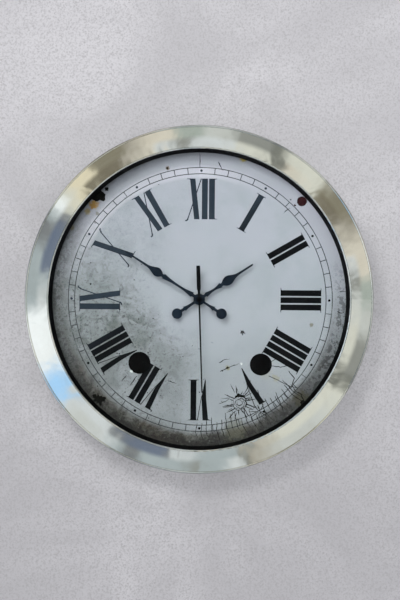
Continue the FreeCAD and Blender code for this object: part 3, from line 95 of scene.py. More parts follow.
# Where a lamp stands, its size and power, and its colour
LAMPS = {
    "key": ((-0.75, -2.7, 1.2), 0.8, 32.0, (1.0, 0.99, 0.98)),
    "fill": ((1.25, -2.7, 0.25), 1.6, 13.0, (0.95, 0.975, 1.0)),
    "back fill": ((0.6, 2.4, 1.2), 1.6, 26.0, (1.0, 1.0, 1.0)),
}
CAMERA_DISTANCE = 4.0
CAMERA_ASIDE = 0.7 * MM
CAMERA_BELOW = 0.6 * MM
FRAME_WIDTH = 0.3472
SENSOR_WIDTH = 36.0

random.seed(12)

# ---------------------------------------------------------------- shader helpers


def srgb(*levels):
    """A display colour of 0 to 255 as linear light."""
    shares = [level / 255 for level in levels]
    return tuple(share / 12.92 if share <= 0.04045 else ((share + 0.055) / 1.055) ** 2.4 for share in shares)


def opaque(value):
    """A colour with full alpha; anything else as it is."""
    return (*value, 1.0) if isinstance(value, tuple) else value


class Nodes:
    """A node tree, with its nodes written as plain calls."""

    def __init__(self, tree, surface, space):
        self.tree = tree
        self.surface = tree.nodes[surface]
        self.where = self.node("TexCoord").outputs[space]

    def node(self, kind, **settings):
        """A new node with some of its settings."""
        made = self.tree.nodes.new("ShaderNode" + kind)
        for key, value in settings.items():
            setattr(made, key, value)
        return made

    def join(self, value, socket):
        """Links a socket, or sets a plain value."""
        if isinstance(value, bpy.types.NodeSocket):
            self.tree.links.new(value, socket)
        else:
            socket.default_value = opaque(value)

    def set(self, **values):
        """Sets the surface's sockets; underscores stand for spaces."""
        for key, value in values.items():
            self.join(value, self.surface.inputs[key.replace("_", " ")])

    def calc(self, operation, *values, clamp=False):
        """One maths node."""
        made = self.node("Math", operation=operation, use_clamp=clamp)
        for value, socket in zip(values, made.inputs):
            self.join(value, socket)
        return made.outputs[0]

    def plus(self, first, second):
        """A sum."""
        return self.calc("ADD", first, second)

    def times(self, product, *values):
        """A product of two or more."""
        for value in values:
            product = self.calc("MULTIPLY", product, value)
        return product

    def length(self, x, z):
        """The length of a flat vector."""
        return self.calc("SQRT", self.plus(self.times(x, x), self.times(z, z)))

    def noise(self, scale, detail=4.0, roughness=0.55, distortion=0.0, where=None):
        """Noise from 0 to 1."""
        made = self.node("TexNoise")
        made.inputs["Scale"].default_value = scale
        made.inputs["Detail"].default_value = detail
        made.inputs["Roughness"].default_value = roughness
        made.inputs["Distortion"].default_value = distortion
        self.join(where or self.where, made.inputs["Vector"])
        return made.outputs["Fac"]

    def step(self, value, low, high):
        """0 below low, 1 above high, smooth between; falls if low is above high."""
        made = self.node("MapRange", interpolation_type="SMOOTHSTEP")
        self.join(value, made.inputs["Value"])
        ends = (low, high, 0.0, 1.0) if low < high else (high, low, 1.0, 0.0)
        for name, number in zip(("From Min", "From Max", "To Min", "To Max"), ends):
            made.inputs[name].default_value = number
        return made.outputs["Result"]

    def span(self, value, low, high):
        """A value from 0 to 1 taken to the range low to high."""
        made = self.node("MapRange")
        self.join(value, made.inputs["Value"])
        made.inputs["To Min"].default_value = low
        made.inputs["To Max"].default_value = high
        return made.outputs["Result"]

    def ramp(self, value, *stops):
        """A ramp through (place, colour or grey level) stops."""
        made = self.node("ValToRGB")
        self.join(value, made.inputs["Fac"])
        elements = made.color_ramp.elements
        while len(elements) < len(stops):
            elements.new(0.5)
        for element, (place, colour) in zip(elements, stops):
            element.position = place
            element.color = opaque(colour if isinstance(colour, tuple) else (colour,) * 3)
        return made.outputs["Color"]

    def mix(self, factor, first, second, blend="MIX"):
        """Two colours mixed."""
        made = self.node("Mix", data_type="RGBA", blend_type=blend)
        self.join(factor, made.inputs["Factor"])
        self.join(first, made.inputs[6])
        self.join(second, made.inputs[7])
        return made.outputs[2]

    def cover(self, ground, colour, *shares):
        """A colour laid over another, as far as the product of the shares says."""
        return self.mix(self.times(*shares), ground, colour)

    def axes(self):
        """The x, y and z of the coordinates."""
        made = self.node("SeparateXYZ")
        self.join(self.where, made.inputs[0])
        return made.outputs

    def dial_turn(self, x, z):
        """The dial angle of a direction, as a share of a turn from 0 to 1."""
        turn = self.calc("DIVIDE", self.calc("ARCTAN2", x, z), FULL_TURN)
        return self.calc("FRACT", self.plus(turn, 1.0))


class Shader(Nodes):
    """One node material."""

    def __init__(self, name):
        self.material = bpy.data.materials.new(name)
        self.material.use_nodes = True
        super().__init__(self.material.node_tree, "Principled BSDF", "Object")

    def bump(self, height, distance):
        """Relief of a height from 0 to 1 over a distance in metres."""
        made = self.node("Bump")
        made.inputs["Strength"].default_value = 1.0
        made.inputs["Distance"].default_value = distance
        self.join(height, made.inputs["Height"])
        self.set(Normal=made.outputs["Normal"])

    def clear_where(self, share, tint):
        """Lets light straight through, tinted, where a share is 1."""
        clear = self.node("BsdfTransparent")
        self.join(tint, clear.inputs["Color"])
        blend = self.node("MixShader")
        for value, socket in zip((share, self.surface.outputs[0], clear.outputs[0]), blend.inputs):
            self.join(value, socket)
        self.join(blend.outputs[0], self.tree.nodes["Material Output"].inputs["Surface"])

    def polar(self):
        """Distance from the hands' axis, and the dial angle as a share of a turn from 0 to 1."""
        x, _, z = self.axes()
        return self.length(x, z), self.dial_turn(x, z)

    def near(self, x, z, inner, outer, ragged, grain):
        """1 within inner of a point of the dial and 0 beyond outer, with a ragged edge."""
        place_x, _, place_z = self.axes()
        away = self.length(self.calc("SUBTRACT", place_x, x), self.calc("SUBTRACT", place_z, z))
        wander = self.times(self.calc("SUBTRACT", self.noise(grain, 5.0), 0.5), 2 * ragged)
        return self.step(self.plus(away, wander), outer, inner)


# ---------------------------------------------------------------- plain materials

def metal(name, colour, roughness):
    """Metal with fine grain, faint tarnish and uneven polish."""
    made = Shader(name)
    fine = made.noise(900.0, 6.0, 0.6)
    clouds = made.noise(35.0, 3.0)
    tarnished = tuple(level * TARNISH for level in colour)
    grained = made.span(fine, roughness * 0.6, roughness * 1.25)
    made.set(Base_Color=made.mix(made.step(clouds, 0.35, 0.75), colour, tarnished), Metallic=1.0,
             Roughness=made.plus(grained, made.span(clouds, 0.0, roughness * 0.35)))
    made.bump(fine, 0.01 * MM)
    return made.material


def moulding(name, colour, roughness, grain=1800.0, relief=0.02 * MM, dust=0.12, coat=0.0, shine=0.5):
    """Moulded plastic or rubber with a fine texture and a little dust."""
    made = Shader(name)
    fine = made.noise(grain, 5.0, 0.6)
    clouds = made.noise(60.0, 4.0)
    dusty = tuple(level + dust * (0.5 - level) for level in colour)
    made.set(Base_Color=made.mix(made.step(clouds, 0.45, 0.8), colour, dusty), Coat_Weight=coat,
             Roughness=made.span(fine, roughness - 0.08, roughness + 0.1), Specular_IOR_Level=shine)
    made.bump(fine, relief)
    return made.material


def hardboard():
    """Pressed brown fibre board."""
    made = Shader("hardboard")
    fibres = made.noise(420.0, 8.0, 0.7, 1.2)
    flecks = made.noise(1500.0, 3.0)
    brown = made.ramp(fibres, (0.25, (0.10, 0.055, 0.028)), (0.55, (0.22, 0.13, 0.07)),
                      (0.8, (0.34, 0.22, 0.13)))
    made.set(Base_Color=brown, Roughness=made.span(flecks, 0.6, 0.9))
    made.bump(fibres, 0.15 * MM)
    return made.material


def winding():
    """Turns of enamelled copper wire, as close ridges round the coil."""
    made = Shader("copper winding")
    waves = made.calc("SINE", made.times(made.axes()[0], FULL_TURN / WIRE_PITCH))
    ridges = made.span(waves, 0.5, 1.0)
    tint = made.noise(500.0, 2.0)
    made.set(Base_Color=made.mix(tint, srgb(150, 62, 26), srgb(205, 112, 60)), Metallic=1.0,
             Roughness=made.span(ridges, 0.25, 0.5))
    made.bump(ridges, 0.03 * MM)
    return made.material


def circuit():
    """Green lacquered circuit board with faint copper tracks under the lacquer."""
    made = Shader("circuit board")
    cells = made.node("TexVoronoi", feature="DISTANCE_TO_EDGE")
    cells.inputs["Scale"].default_value = 420.0
    made.join(made.where, cells.inputs["Vector"])
    tracks = made.step(cells.outputs["Distance"], 0.06, 0.10)
    weave = made.noise(2400.0, 3.0)
    made.set(Base_Color=made.mix(tracks, srgb(70, 120, 62), srgb(20, 74, 42)),
             Roughness=made.span(weave, 0.28, 0.42), Coat_Weight=0.5)
    made.bump(tracks, 0.03 * MM)
    return made.material


def battery_wrap():
    """Printed film: dark body with a copper-coloured band at the positive end."""
    made = Shader("battery wrap")
    band = made.step(made.axes()[0], WRAP_BAND, WRAP_BAND + WRAP_BAND_EDGE)
    scuffs = made.noise(900.0, 6.0, 0.65)
    dark = made.mix(scuffs, srgb(28, 30, 34), srgb(44, 46, 52))
    warm = made.mix(scuffs, srgb(176, 112, 62), srgb(196, 134, 82))
    made.set(Base_Color=made.mix(band, dark, warm), Roughness=made.span(scuffs, 0.18, 0.36), Coat_Weight=0.4)
    made.bump(scuffs, 0.01 * MM)
    return made.material


def glass():
    """Clear flat glass that lets light through without a dark shadow."""
    made = Shader("clear glass")
    smears = made.noise(14.0, 5.0, 0.6, 0.8)
    made.set(Base_Color=(0.97, 0.985, 0.98), Transmission_Weight=1.0, Roughness=made.span(smears, 0.0, 0.004),
             IOR=1.45)
    made.clear_where(made.node("LightPath").outputs["Is Shadow Ray"], (0.96, 0.975, 0.97))
    return made.material


# ---------------------------------------------------------------- materials of the case and the hands

def polished_bezel():
    """Polished steel with fine turned lines, faint smears and a few shallow dents."""
    made = Shader("polished bezel")
    radius, turn = made.polar()
    lines = made.node("CombineXYZ")
    for value, socket in zip((radius, made.axes()[1], made.times(turn, 0.004)), lines.inputs):
        made.join(value, socket)
    turned = made.noise(4200.0, 5.0, 0.7, where=lines.outputs[0])
    smears = made.noise(28.0, 5.0, 0.6, 0.6)
    dents = made.noise(46.0, 2.0, 0.4, 0.3)
    colour = made.mix(made.step(smears, 0.35, 0.8), (0.92, 0.925, 0.91), (0.84, 0.835, 0.81))
    made.set(Base_Color=colour, Metallic=1.0,
             Roughness=made.plus(made.span(turned, 0.03, 0.08), made.span(smears, 0.0, 0.03)))
    made.bump(made.plus(dents, made.times(turned, 0.012)), 0.3 * MM)
    return made.material


def pan_paint():
    """Grey enamel on pressed steel, slightly orange-peeled, with rubs and dust."""
    made = Shader("pan enamel")
    radius, _ = made.polar()
    peel = made.noise(700.0, 4.0, 0.5)
    clouds = made.noise(22.0, 5.0, 0.6)
    rubs = made.step(made.noise(130.0, 6.0, 0.7, 1.0), 0.62, 0.72)
    colour = made.mix(made.step(clouds, 0.3, 0.75), srgb(150, 152, 152), srgb(128, 130, 131))
    colour = made.cover(colour, srgb(92, 90, 86), rubs, 0.35)
    edge = made.step(radius, 125 * MM, 142 * MM)
    colour = made.cover(colour, srgb(108, 104, 98), edge, made.step(clouds, 0.45, 0.6), 0.4)
    made.set(Base_Color=colour, Roughness=made.span(clouds, 0.38, 0.58), Coat_Weight=0.15)
    made.bump(peel, 0.03 * MM)
    return made.material


def blued_steel():
    """Dark blued steel of the hour and minute hands, satin and slightly patchy."""
    made = Shader("blued steel")
    clouds = made.noise(160.0, 5.0, 0.6)
    fine = made.noise(2600.0, 4.0)
    colour = made.mix(made.step(clouds, 0.3, 0.75), srgb(3, 16, 30), srgb(12, 30, 46))
    made.set(Base_Color=colour, Metallic=0.15, Roughness=made.span(fine, 0.4, 0.55), Specular_IOR_Level=0.3)
    made.bump(fine, 0.01 * MM)
    return made.material


def black_lacquer():
    """Black lacquer of the seconds hand."""
    made = Shader("black lacquer")
    fine = made.noise(2200.0, 4.0)
    clouds = made.noise(240.0, 4.0)
    made.set(Base_Color=made.mix(clouds, srgb(3, 4, 6), srgb(11, 13, 16)),
             Roughness=made.span(fine, 0.5, 0.65), Specular_IOR_Level=0.1)
    made.bump(fine, 0.008 * MM)
    return made.material


# ---------------------------------------------------------------- dial

# Rust and stains where the print has lifted: x, z and size in millimetres, colour and strength
RUST = (
    (-91, 81.5, 5.0, srgb(176, 134, 44), 0.95),
    (-96, 76, 3.4, srgb(168, 150, 88), 0.8),
    (-88, 74, 2.0, srgb(122, 122, 104), 0.7),
    (-110, 62, 3.2, srgb(112, 106, 78), 0.7),
    (-27.5, 113, 2.2, srgb(122, 104, 74), 0.9),
    (38, 121, 3.2, srgb(206, 186, 70), 0.9),
    (24.5, -59, 2.6, srgb(150, 148, 96), 0.7),
    (58, -64, 7.0, srgb(176, 180, 160), 0.4),
    (66, -68, 4.0, srgb(168, 168, 128), 0.5),
    (88, -86, 9.0, srgb(74, 72, 56), 0.8),
    (30, -112, 12.0, srgb(112, 114, 96), 0.6),
    (97, -22, 2.0, srgb(120, 118, 82), 0.7),
)
RUST_CORE = 0.45
RUST_RAGGED = 0.7
VARNISH = (0.79, 0.765, 0.795)


def ink():
    """Printing ink: slate in the upper left, black elsewhere, rubbed in specks."""
    made = Shader("dial ink")
    x, _, z = made.axes()
    slope = made.plus(made.times(z, 0.8), made.times(x, -0.6))
    fade = made.step(slope, 14 * MM, 46 * MM)
    patches = made.noise(90.0, 4.0)
    grain = made.noise(1500.0, 5.0, 0.7)
    fade = made.calc("MULTIPLY", fade, made.span(patches, 0.6, 1.2), clamp=True)
    colour = made.mix(fade, srgb(3, 5, 8), srgb(44, 54, 66))
    colour = made.cover(colour, srgb(120, 128, 132), made.step(grain, 0.68, 0.78), made.span(fade, 0.0, 0.2))
    made.set(Base_Color=colour, Roughness=made.span(grain, 0.42, 0.62), Specular_IOR_Level=0.15)
    return made.material


def track_ink():
    """Thin ink of the minute track, worn pale in patches."""
    made = Shader("track ink")
    worn = made.noise(70.0, 5.0, 0.65, 0.6)
    grain = made.noise(900.0, 4.0)
    fade = made.step(made.plus(worn, made.span(grain, -0.1, 0.1)), 0.5, 0.72)
    made.set(Base_Color=made.cover(srgb(30, 36, 40), srgb(130, 136, 138), fade, 0.6),
             Roughness=made.span(grain, 0.45, 0.65))
    return made.material


def dial_surface():
    """Aged grey dial: soft mottling, painted shade at the very edge, stained lower rim with specks, and rust.
    """
    made = Shader("aged dial")
    radius, turn = made.polar()
    x, _, z = made.axes()

    broad = made.noise(9.0, 3.0, 0.5)
    cloud = made.noise(26.0, 6.0, 0.62, 0.4)
    patch = made.noise(75.0, 7.0, 0.68, 0.8)
    speck = made.noise(520.0, 6.0, 0.72)
    fine = made.noise(1500.0, 4.0, 0.6)
    pepper = made.noise(330.0, 3.0, 0.6, 0.2)

    # Clean ground: blue-grey, with a lilac cast towards the top
    ground = made.mix(made.step(z, -60 * MM, 110 * MM), srgb(186, 196, 200), srgb(194, 201, 210))
    ground = made.cover(ground, srgb(171, 184, 187), made.step(cloud, 0.40, 0.70), 0.6)
    ground = made.cover(ground, srgb(202, 208, 220), made.step(broad, 0.5, 0.7), 0.4)
    ground = made.cover(ground, srgb(166, 172, 182), made.step(fine, 0.55, 0.75), 0.3)
    outer_band = made.step(radius, 104 * MM, 116 * MM)
    ground = made.cover(ground, srgb(194, 198, 208), outer_band, made.step(z, -40 * MM, 60 * MM), 0.5)

    # The band of the minute track is paler in the upper left
    track_band = made.times(made.step(radius, 103 * MM, 107 * MM), made.step(radius, 117 * MM, 113 * MM))
    upper_left = made.ramp(turn, (0.0, 0.7), (0.06, 0.2), (0.12, 0.0), (0.78, 0.0), (0.84, 0.65), (1.0, 0.5))
    ground = made.cover(ground, srgb(236, 238, 246), track_band, upper_left)

    # Green-grey grime low on the left, with a fainter cloud across to the hands
    left = made.ramp(turn, (0.0, 0.0), (0.50, 0.0), (0.55, 0.8), (0.61, 1.0), (0.70, 0.95), (0.77, 0.55),
                     (0.84, 0.2), (1.0, 0.0))
    haze = made.near(-38 * MM, -56 * MM, 10 * MM, 46 * MM, 12 * MM, 38.0)
    band = made.calc("MAXIMUM", made.times(made.step(radius, 26 * MM, 62 * MM), left), made.times(haze, 0.85))
    ground = made.cover(ground, srgb(122, 131, 128), band, made.span(made.step(cloud, 0.34, 0.62), 0.45, 1.0))
    ground = made.cover(ground, srgb(84, 92, 88), band, made.step(patch, 0.48, 0.62), 0.6)
    ground = made.cover(ground, srgb(62, 68, 66), band, made.step(speck, 0.55, 0.62), 0.7)
    ground = made.cover(ground, srgb(66, 72, 69), band, made.step(pepper, 0.585, 0.63), 0.65)

    # Lower half: duller ground with fine dark peppering
    low = made.step(z, -5 * MM, -95 * MM)
    ground = made.cover(ground, srgb(156, 163, 166), low, made.span(cloud, 0.2, 0.8))
    ground = made.cover(ground, srgb(84, 90, 88), low, made.step(speck, 0.58, 0.68), 0.5)

    # Stained rim outside the track, darkest at the bottom
    stained = made.ramp(turn, (0.0, 0.05), (0.06, 0.0), (0.20, 0.0), (0.25, 0.16), (0.31, 0.5),
                        (0.37, 0.85), (0.50, 1.0), (0.63, 1.0), (0.70, 0.55), (0.76, 0.28), (0.82, 0.2),
                        (0.90, 0.08), (1.0, 0.05))
    wander = made.times(made.calc("SUBTRACT", patch, 0.5), 14 * MM)
    reach = made.calc("SUBTRACT", radius, wander)
    rim = made.times(made.step(reach, 110 * MM, 119 * MM), stained)
    stain = made.calc("MULTIPLY", rim, made.span(patch, 0.75, 1.35), clamp=True)
    soil = made.mix(made.step(patch, 0.38, 0.66), srgb(58, 57, 52), srgb(112, 114, 108))
    soil = made.cover(soil, srgb(86, 70, 48), made.step(cloud, 0.48, 0.72), 0.7)
    soil = made.cover(soil, srgb(40, 40, 38), made.step(reach, 116 * MM, 125 * MM), 0.75)
    ground = made.mix(stain, ground, soil)
    ground = made.cover(ground, srgb(150, 154, 152), stain, made.step(speck, 0.58, 0.66), 0.55)
    ground = made.cover(ground, srgb(16, 16, 14), rim, made.step(speck, 0.45, 0.38), 0.9)

    # Painted shade creeping in from the very edge, where the dial sits under the bezel, heavier on the left
    edge_shade = made.step(made.plus(radius, made.times(patch, 6 * MM)), 126 * MM, 131 * MM)
    ground = made.cover(ground, srgb(50, 52, 48), edge_shade, made.span(made.step(x, 40 * MM, -90 * MM), 0.0, 0.7))

    # Black peppering on the rim at the lower right, the bottom and the left
    peppered = made.ramp(turn, (0.0, 0.0), (0.20, 0.0), (0.25, 0.7), (0.33, 0.9), (0.42, 0.5), (0.55, 0.5),
                         (0.78, 0.6), (0.86, 0.0), (1.0, 0.0))
    spots = made.times(made.step(radius, 115 * MM, 121 * MM), made.step(pepper, 0.50, 0.44))
    ground = made.cover(ground, srgb(22, 23, 22), spots, peppered, 0.75)

    for place_x, place_z, size, colour, strength in RUST:
        edge = size * MM
        spot = made.near(place_x * MM, place_z * MM, edge * RUST_CORE, edge, edge * RUST_RAGGED, 420.0)
        ground = made.cover(ground, colour, spot, strength)

    # Old varnish takes the whole dial down a tone
    ground = made.mix(1.0, ground, VARNISH, "MULTIPLY")
    made.set(Base_Color=ground, Roughness=made.plus(made.span(fine, 0.42, 0.58), made.span(stain, 0.0, 0.25)))
    made.bump(made.plus(made.times(stain, speck), made.times(fine, 0.12)), 0.12 * MM)
    return made.material


def flat_wear(name, dark, pale, grain=700.0):
    """Bare or dirty patch where the print has gone."""
    made = Shader(name)
    mottle = made.noise(grain, 6.0, 0.7, 0.5)
    made.set(Base_Color=made.mix(made.step(mottle, 0.35, 0.7), dark, pale),
             Roughness=made.span(mottle, 0.5, 0.85), Specular_IOR_Level=0.12)
    made.bump(mottle, 0.05 * MM)
    return made.material


# ---------------------------------------------------------------- mesh helpers

def on_dial(radius, angle, aside=0.0):
    """An (x, z) point of the print at a radius and a dial angle, moved aside clockwise."""
    turn = math.radians(angle + PRINT_TURN)
    x = PRINT_CENTRE[0] + radius * math.sin(turn) + aside * math.cos(turn)
    z = PRINT_CENTRE[1] + radius * math.cos(turn) - aside * math.sin(turn)
    return (x, z)


def prism(mesh, points, front, rear):
    """Adds a closed flat solid of (x, z) points between two depths."""
    near = [mesh.verts.new((x, front, z)) for x, z in points]
    far = [mesh.verts.new((x, rear, z)) for x, z in points]
    area = sum(a[0] * b[1] - b[0] * a[1] for a, b in zip(points, points[1:] + points[:1]))
    if area < 0:
        near.reverse()
        far.reverse()
    mesh.faces.new(near)
    mesh.faces.new(far[::-1])
    for number in range(len(near)):
        following = (number + 1) % len(near)
        mesh.faces.new((near[number], far[number], far[following], near[following]))


def add_object(name, mesh, material):
    """Puts a finished mesh in the scene with its material."""
    data = bpy.data.meshes.new(name)
    mesh.to_mesh(data)
    mesh.free()
    data.materials.append(material)
    made = bpy.data.objects.new(name, data)
    bpy.context.scene.collection.objects.link(made)
    return made


def print_piece(name, outlines, material):
    """A layer of print made of flat outlines, a hair's breadth in front of the dial."""
    mesh = bmesh.new()
    for number, outline in enumerate(outlines):
        height = PRINT_LIFT * (LAYERS[name] + STAGGER * (number % STAGGER_COUNT))
        prism(mesh, outline, DIAL_FRONT - height, DIAL_FRONT + PRINT_SINK)
    bmesh.ops.recalc_face_normals(mesh, faces=mesh.faces)
    piece = add_object(name, mesh, material)
    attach(piece, "case")


def circle_points(centre, radius, count, ragged):
    """Points round a circle, uneven by a share of its radius."""
    points = []
    for number in range(count):
        turn = FULL_TURN * number / count
        reach = radius * (1 + ragged * random.uniform(-1, 1))
        points.append((centre[0] + reach * math.sin(turn), centre[1] + reach * math.cos(turn)))
    return points


def arc_band(radius, width, start, end, steps):
    """An outline that follows the print's circle between two dial angles."""
    turns = [start + (end - start) * number / steps for number in range(steps + 1)]
    outer = [on_dial(radius + width / 2, turn) for turn in turns]
    inner = [on_dial(radius - width / 2, turn) for turn in reversed(turns)]
    return outer + inner


# ---------------------------------------------------------------- numerals

def serif(edge, outward, level, inward):
    """The thin foot that runs out from one edge of a stem and thickens into it."""
    tip = edge + outward * SERIF_REACH
    return [(tip, level), (edge, level), (edge, level + inward * 2.2),
            (edge + outward * SERIF_BEND, level + inward), (tip, level + inward * 0.8)]


def placed(left, shapes):
    """Shapes of (millimetres across, share of the height) points, set from a left edge."""
    return [[(left + across * MM, share * NUMERAL_HEIGHT) for across, share in shape] for shape in shapes]


def letter_i(left, first, last):
    """A stem, with serifs on the sides that end a group of stems; returns outlines and the advance."""
    right = left + STEM
    outlines = [[(left, 0), (right, 0), (right + STEM_FLARE, NUMERAL_HEIGHT),
                 (left - STEM_FLARE, NUMERAL_HEIGHT)]]
    for level, inward in ((0.0, HAIRLINE), (NUMERAL_HEIGHT, -HAIRLINE)):
        if first:
            outlines.append(serif(left, -1, level, inward))
        if last:
            outlines.append(serif(right, 1, level, inward))
    return outlines, STEM + STEM_GAP


def letter_v(left, last):
    """A wedge that narrows to a point, and a hairline that meets it."""
    wedge = [(0, 1), (1.8, 0.48), (2.35, 0.0), (3.0, 0.0), (5.6, 0.38), (5.9, 0.48), (4.85, 1)]
    hair = [(5.45, 0.36), (6.2, 0.42), (9.6, 1.0), (8.9, 1.0)]
    left_serif = [(-2.1, 1.0), (0.2, 1.0), (0.2, 0.965), (-0.5, 0.98), (-2.1, 0.984)]
    shapes = [wedge, hair, left_serif]
    if last:
        shapes.append([(8.0, 1.0), (11.2, 1.0), (11.2, 0.984), (9.6, 0.98), (8.0, 0.984)])
    return placed(left, shapes), V_ADVANCE


def letter_x(left, lean, last):
    """A heavy stroke that leans to the right, crossed by a hairline with a hooked foot."""
    heavy = [(2.7, 1.0), (7.3, 1.0), (7.3 + lean, 0.0), (2.7 + lean, 0.0)]
    top = 8.45 + 1.05 * lean
    foot = 1.25 + 0.85 * (lean - 3.8)
    hair = [(top - 0.45, 1.0), (top + 0.45, 1.0), (foot + 0.5, 0.03), (foot - 0.4, 0.03)]
    hook = [(foot + 0.5, 0.04), (foot - 0.45, 0.04), (foot - 1.1, -0.012), (foot - 2.5, -0.022),
            (foot - 2.5, -0.05), (foot - 0.7, -0.045), (foot + 0.3, -0.012)]
    left_serif = [(0.2, 1.0), (2.8, 1.0), (2.8, 0.965), (2.2, 0.982), (0.2, 0.984)]
    shapes = [heavy, hair, hook, left_serif]
    if last:
        shapes.append([(top - 0.5, 0.96), (top + 0.4, 0.955), (top + 1.2, 1.008), (top + 2.5, 1.02),
                       (top + 2.5, 1.048), (top + 0.7, 1.04)])
        shapes.append([(7.2 + lean, 0.0), (9.6 + lean, 0.0), (9.6 + lean, 0.016), (7.7 + lean, 0.018)])
    return placed(left, shapes), X_ADVANCE


def numeral(letters, angle):
    """The outlines of one Roman numeral, with its feet towards the centre."""
    outlines = []
    left = 0.0
    for place, letter in enumerate(letters):
        last = place == len(letters) - 1
        before = letters[place - 1] if place else ""
        if letter == "I":
            made, advance = letter_i(left, before not in ("I", "X"), last or letters[place + 1] != "I")
        elif letter == "V":
            made, advance = letter_v(left, last)
        else:
            start = left - X_AFTER_I if before == "I" else left
            made, advance = letter_x(start, X_LEAN[letters], last)
        outlines += made
        left += advance
    spread = [across for outline in outlines for across, _ in outline]
    middle = (min(spread) + max(spread)) / 2
    return [[on_dial(NUMERAL_FOOT + up, angle, across - middle) for across, up in outline]
            for outline in outlines]


def numerals():
    """Twelve numerals as one raised print."""
    names = ("XII", "I", "II", "III", "IIII", "V", "VI", "VII", "VIII", "IX", "X", "XI")
    outlines = []
    for hour, letters in enumerate(names):
        outlines += numeral(letters, 30 * hour)
    print_piece("numerals", outlines, ink())


def minute_track():
    """Two hairline circles joined by a tick at each minute, with a dot at each fifth."""
    bands = []
    for hour in range(12):
        for radius in (TRACK_INNER, TRACK_OUTER):
            bands.append(arc_band(radius, TRACK_LINE, 30 * hour, 30 * hour + 30, 12))
    half = TRACK_LINE / 2
    for minute in range(60):
        if minute % 5:
            corners = ((TRACK_INNER, -half), (TRACK_OUTER, -half), (TRACK_OUTER, half), (TRACK_INNER, half))
            bands.append([on_dial(radius, 6 * minute, aside) for radius, aside in corners])
    print_piece("minute_track", bands, track_ink())
    dots = [circle_points(on_dial(DOT_PLACE, 30 * hour), DOT_RADIUS, 16, 0.08) for hour in range(12)]
    print_piece("five_minute_dots", dots, ink())


def printed_holes():
    """The two black discs printed where a wound clock has its key holes."""
    discs = [circle_points(place, HOLE_RADIUS, 72, 0.006) for place in HOLE_PLACES]
    print_piece("printed_key_holes", discs, flat_wear("hole print", srgb(1, 1, 1), srgb(6, 6, 7), 500.0))


# ---------------------------------------------------------------- wear of the dial, placed in millimetres

CRACK_STEP = 1.6 * MM
CRACK_WIDTH = 0.75
CRACK_WANDER = 0.3
CRACKS = (
    ((61.5, -57.5), (70, -58.5), (80, -56.5), (84, -58)),
    ((62, -54), (67, -50.5), (72, -49)),
    ((60, -66), (70, -71), (78, -75), (88, -77)),
    ((77, -62), (82, -68), (80, -76), (74, -78)),
    ((72, -70), (82, -80), (90, -86)),
    ((83, -84), (91, -90), (95, -86)),
    ((91, -90), (88, -82), (85, -80)),
    ((66, -80), (70, -90), (74, -100)),
    ((50, -78), (54, -88), (57, -98), (60, -108)),
    ((44, -70), (40, -80), (36, -84)),
    ((17, -55), (21, -52.5), (26.5, -51.5)),
    ((18, -62.5), (24.5, -59), (30, -57), (35.5, -55.6)),
    ((17, -90), (23, -88), (26, -86)),
    ((26, -103), (29, -98), (33, -95)),
    ((0.6, 114), (0.7, 127)),
    ((16.7, 118.7), (18.5, 114), (20.8, 110.8)),
    ((73.5, 75), (76, 77.5), (78.5, 78.5)),
    ((121, 6.7), (124, 6.9), (127, 6.4)),
    ((119.5, -10.5), (122, -12), (125, -11.4)),
    ((-63, -66), (-67, -71)),
    ((-54, -66), (-58, -72), (-60, -75)),
    ((-26.5, -70.2), (-23.5, -71.6), (-19.5, -72.8)),
)
# The flower of cracks at five o'clock: rings of (radius, width), a crown and a coil
FLOWER = (35.0, -89.5)
FLOWER_RINGS = ((6.0, 0.6), (4.2, 0.5), (2.3, 0.5))
CROWN_RADIUS = 6.4
# Bursts: centre, inner and outer reach, count and width
BURSTS = ((FLOWER, 6.2, 13.5, 15, 0.9), (FLOWER, 9.0, 17.0, 11, 0.6), ((52.0, -97.0), 1.0, 9.0, 9, 0.6),
          ((37.5, -28.8), 0.2, 2.6, 6, 1.1))
RIM_CRACKS = 22
RIM_CRACK_START = 181
RIM_CRACK_STEP = 2.3
# Loose specks, most of them in the lower left
SPECKS = 90
SPECK_REACH = 118 * MM
SPECK_ANGLE = 238
SPECK_SPREAD = 52
# Blots: x, z, radius, corners and raggedness
SPOTS = ((88.6, 84.6, 4.3, 30, 0.06), (82.8, 81.0, 0.9, 9, 0.35), (79.0, 86.0, 0.6, 9, 0.3))
CHIPS = ((-85.0, 89.6, 4.8, 19, 0.3), (-90.0, 87.0, 2.4, 13, 0.35), (-80.0, 95.0, 1.7, 11, 0.35),
         (-86.0, -86.5, 4.6, 23, 0.42), (-90.5, -84.0, 1.8, 13, 0.4), (24.6, -59.2, 1.1, 11, 0.3),
         (20.0, -61.6, 0.7, 9, 0.3), (-93.6, 13.3, 0.8, 9, 0.25), (-27.5, 113.2, 0.9, 10, 0.3),
         (90.5, -89.5, 3.0, 17, 0.4), (34.0, -83.0, 1.6, 13, 0.4))
FLAKES = ((-58.6, -62.2, 1.2, 11, 0.25), (36.4, -55.6, 1.0, 8, 0.3))


def millimetres(points):
    """Points given in millimetres, in metres."""
    return [(x * MM, z * MM) for x, z in points]


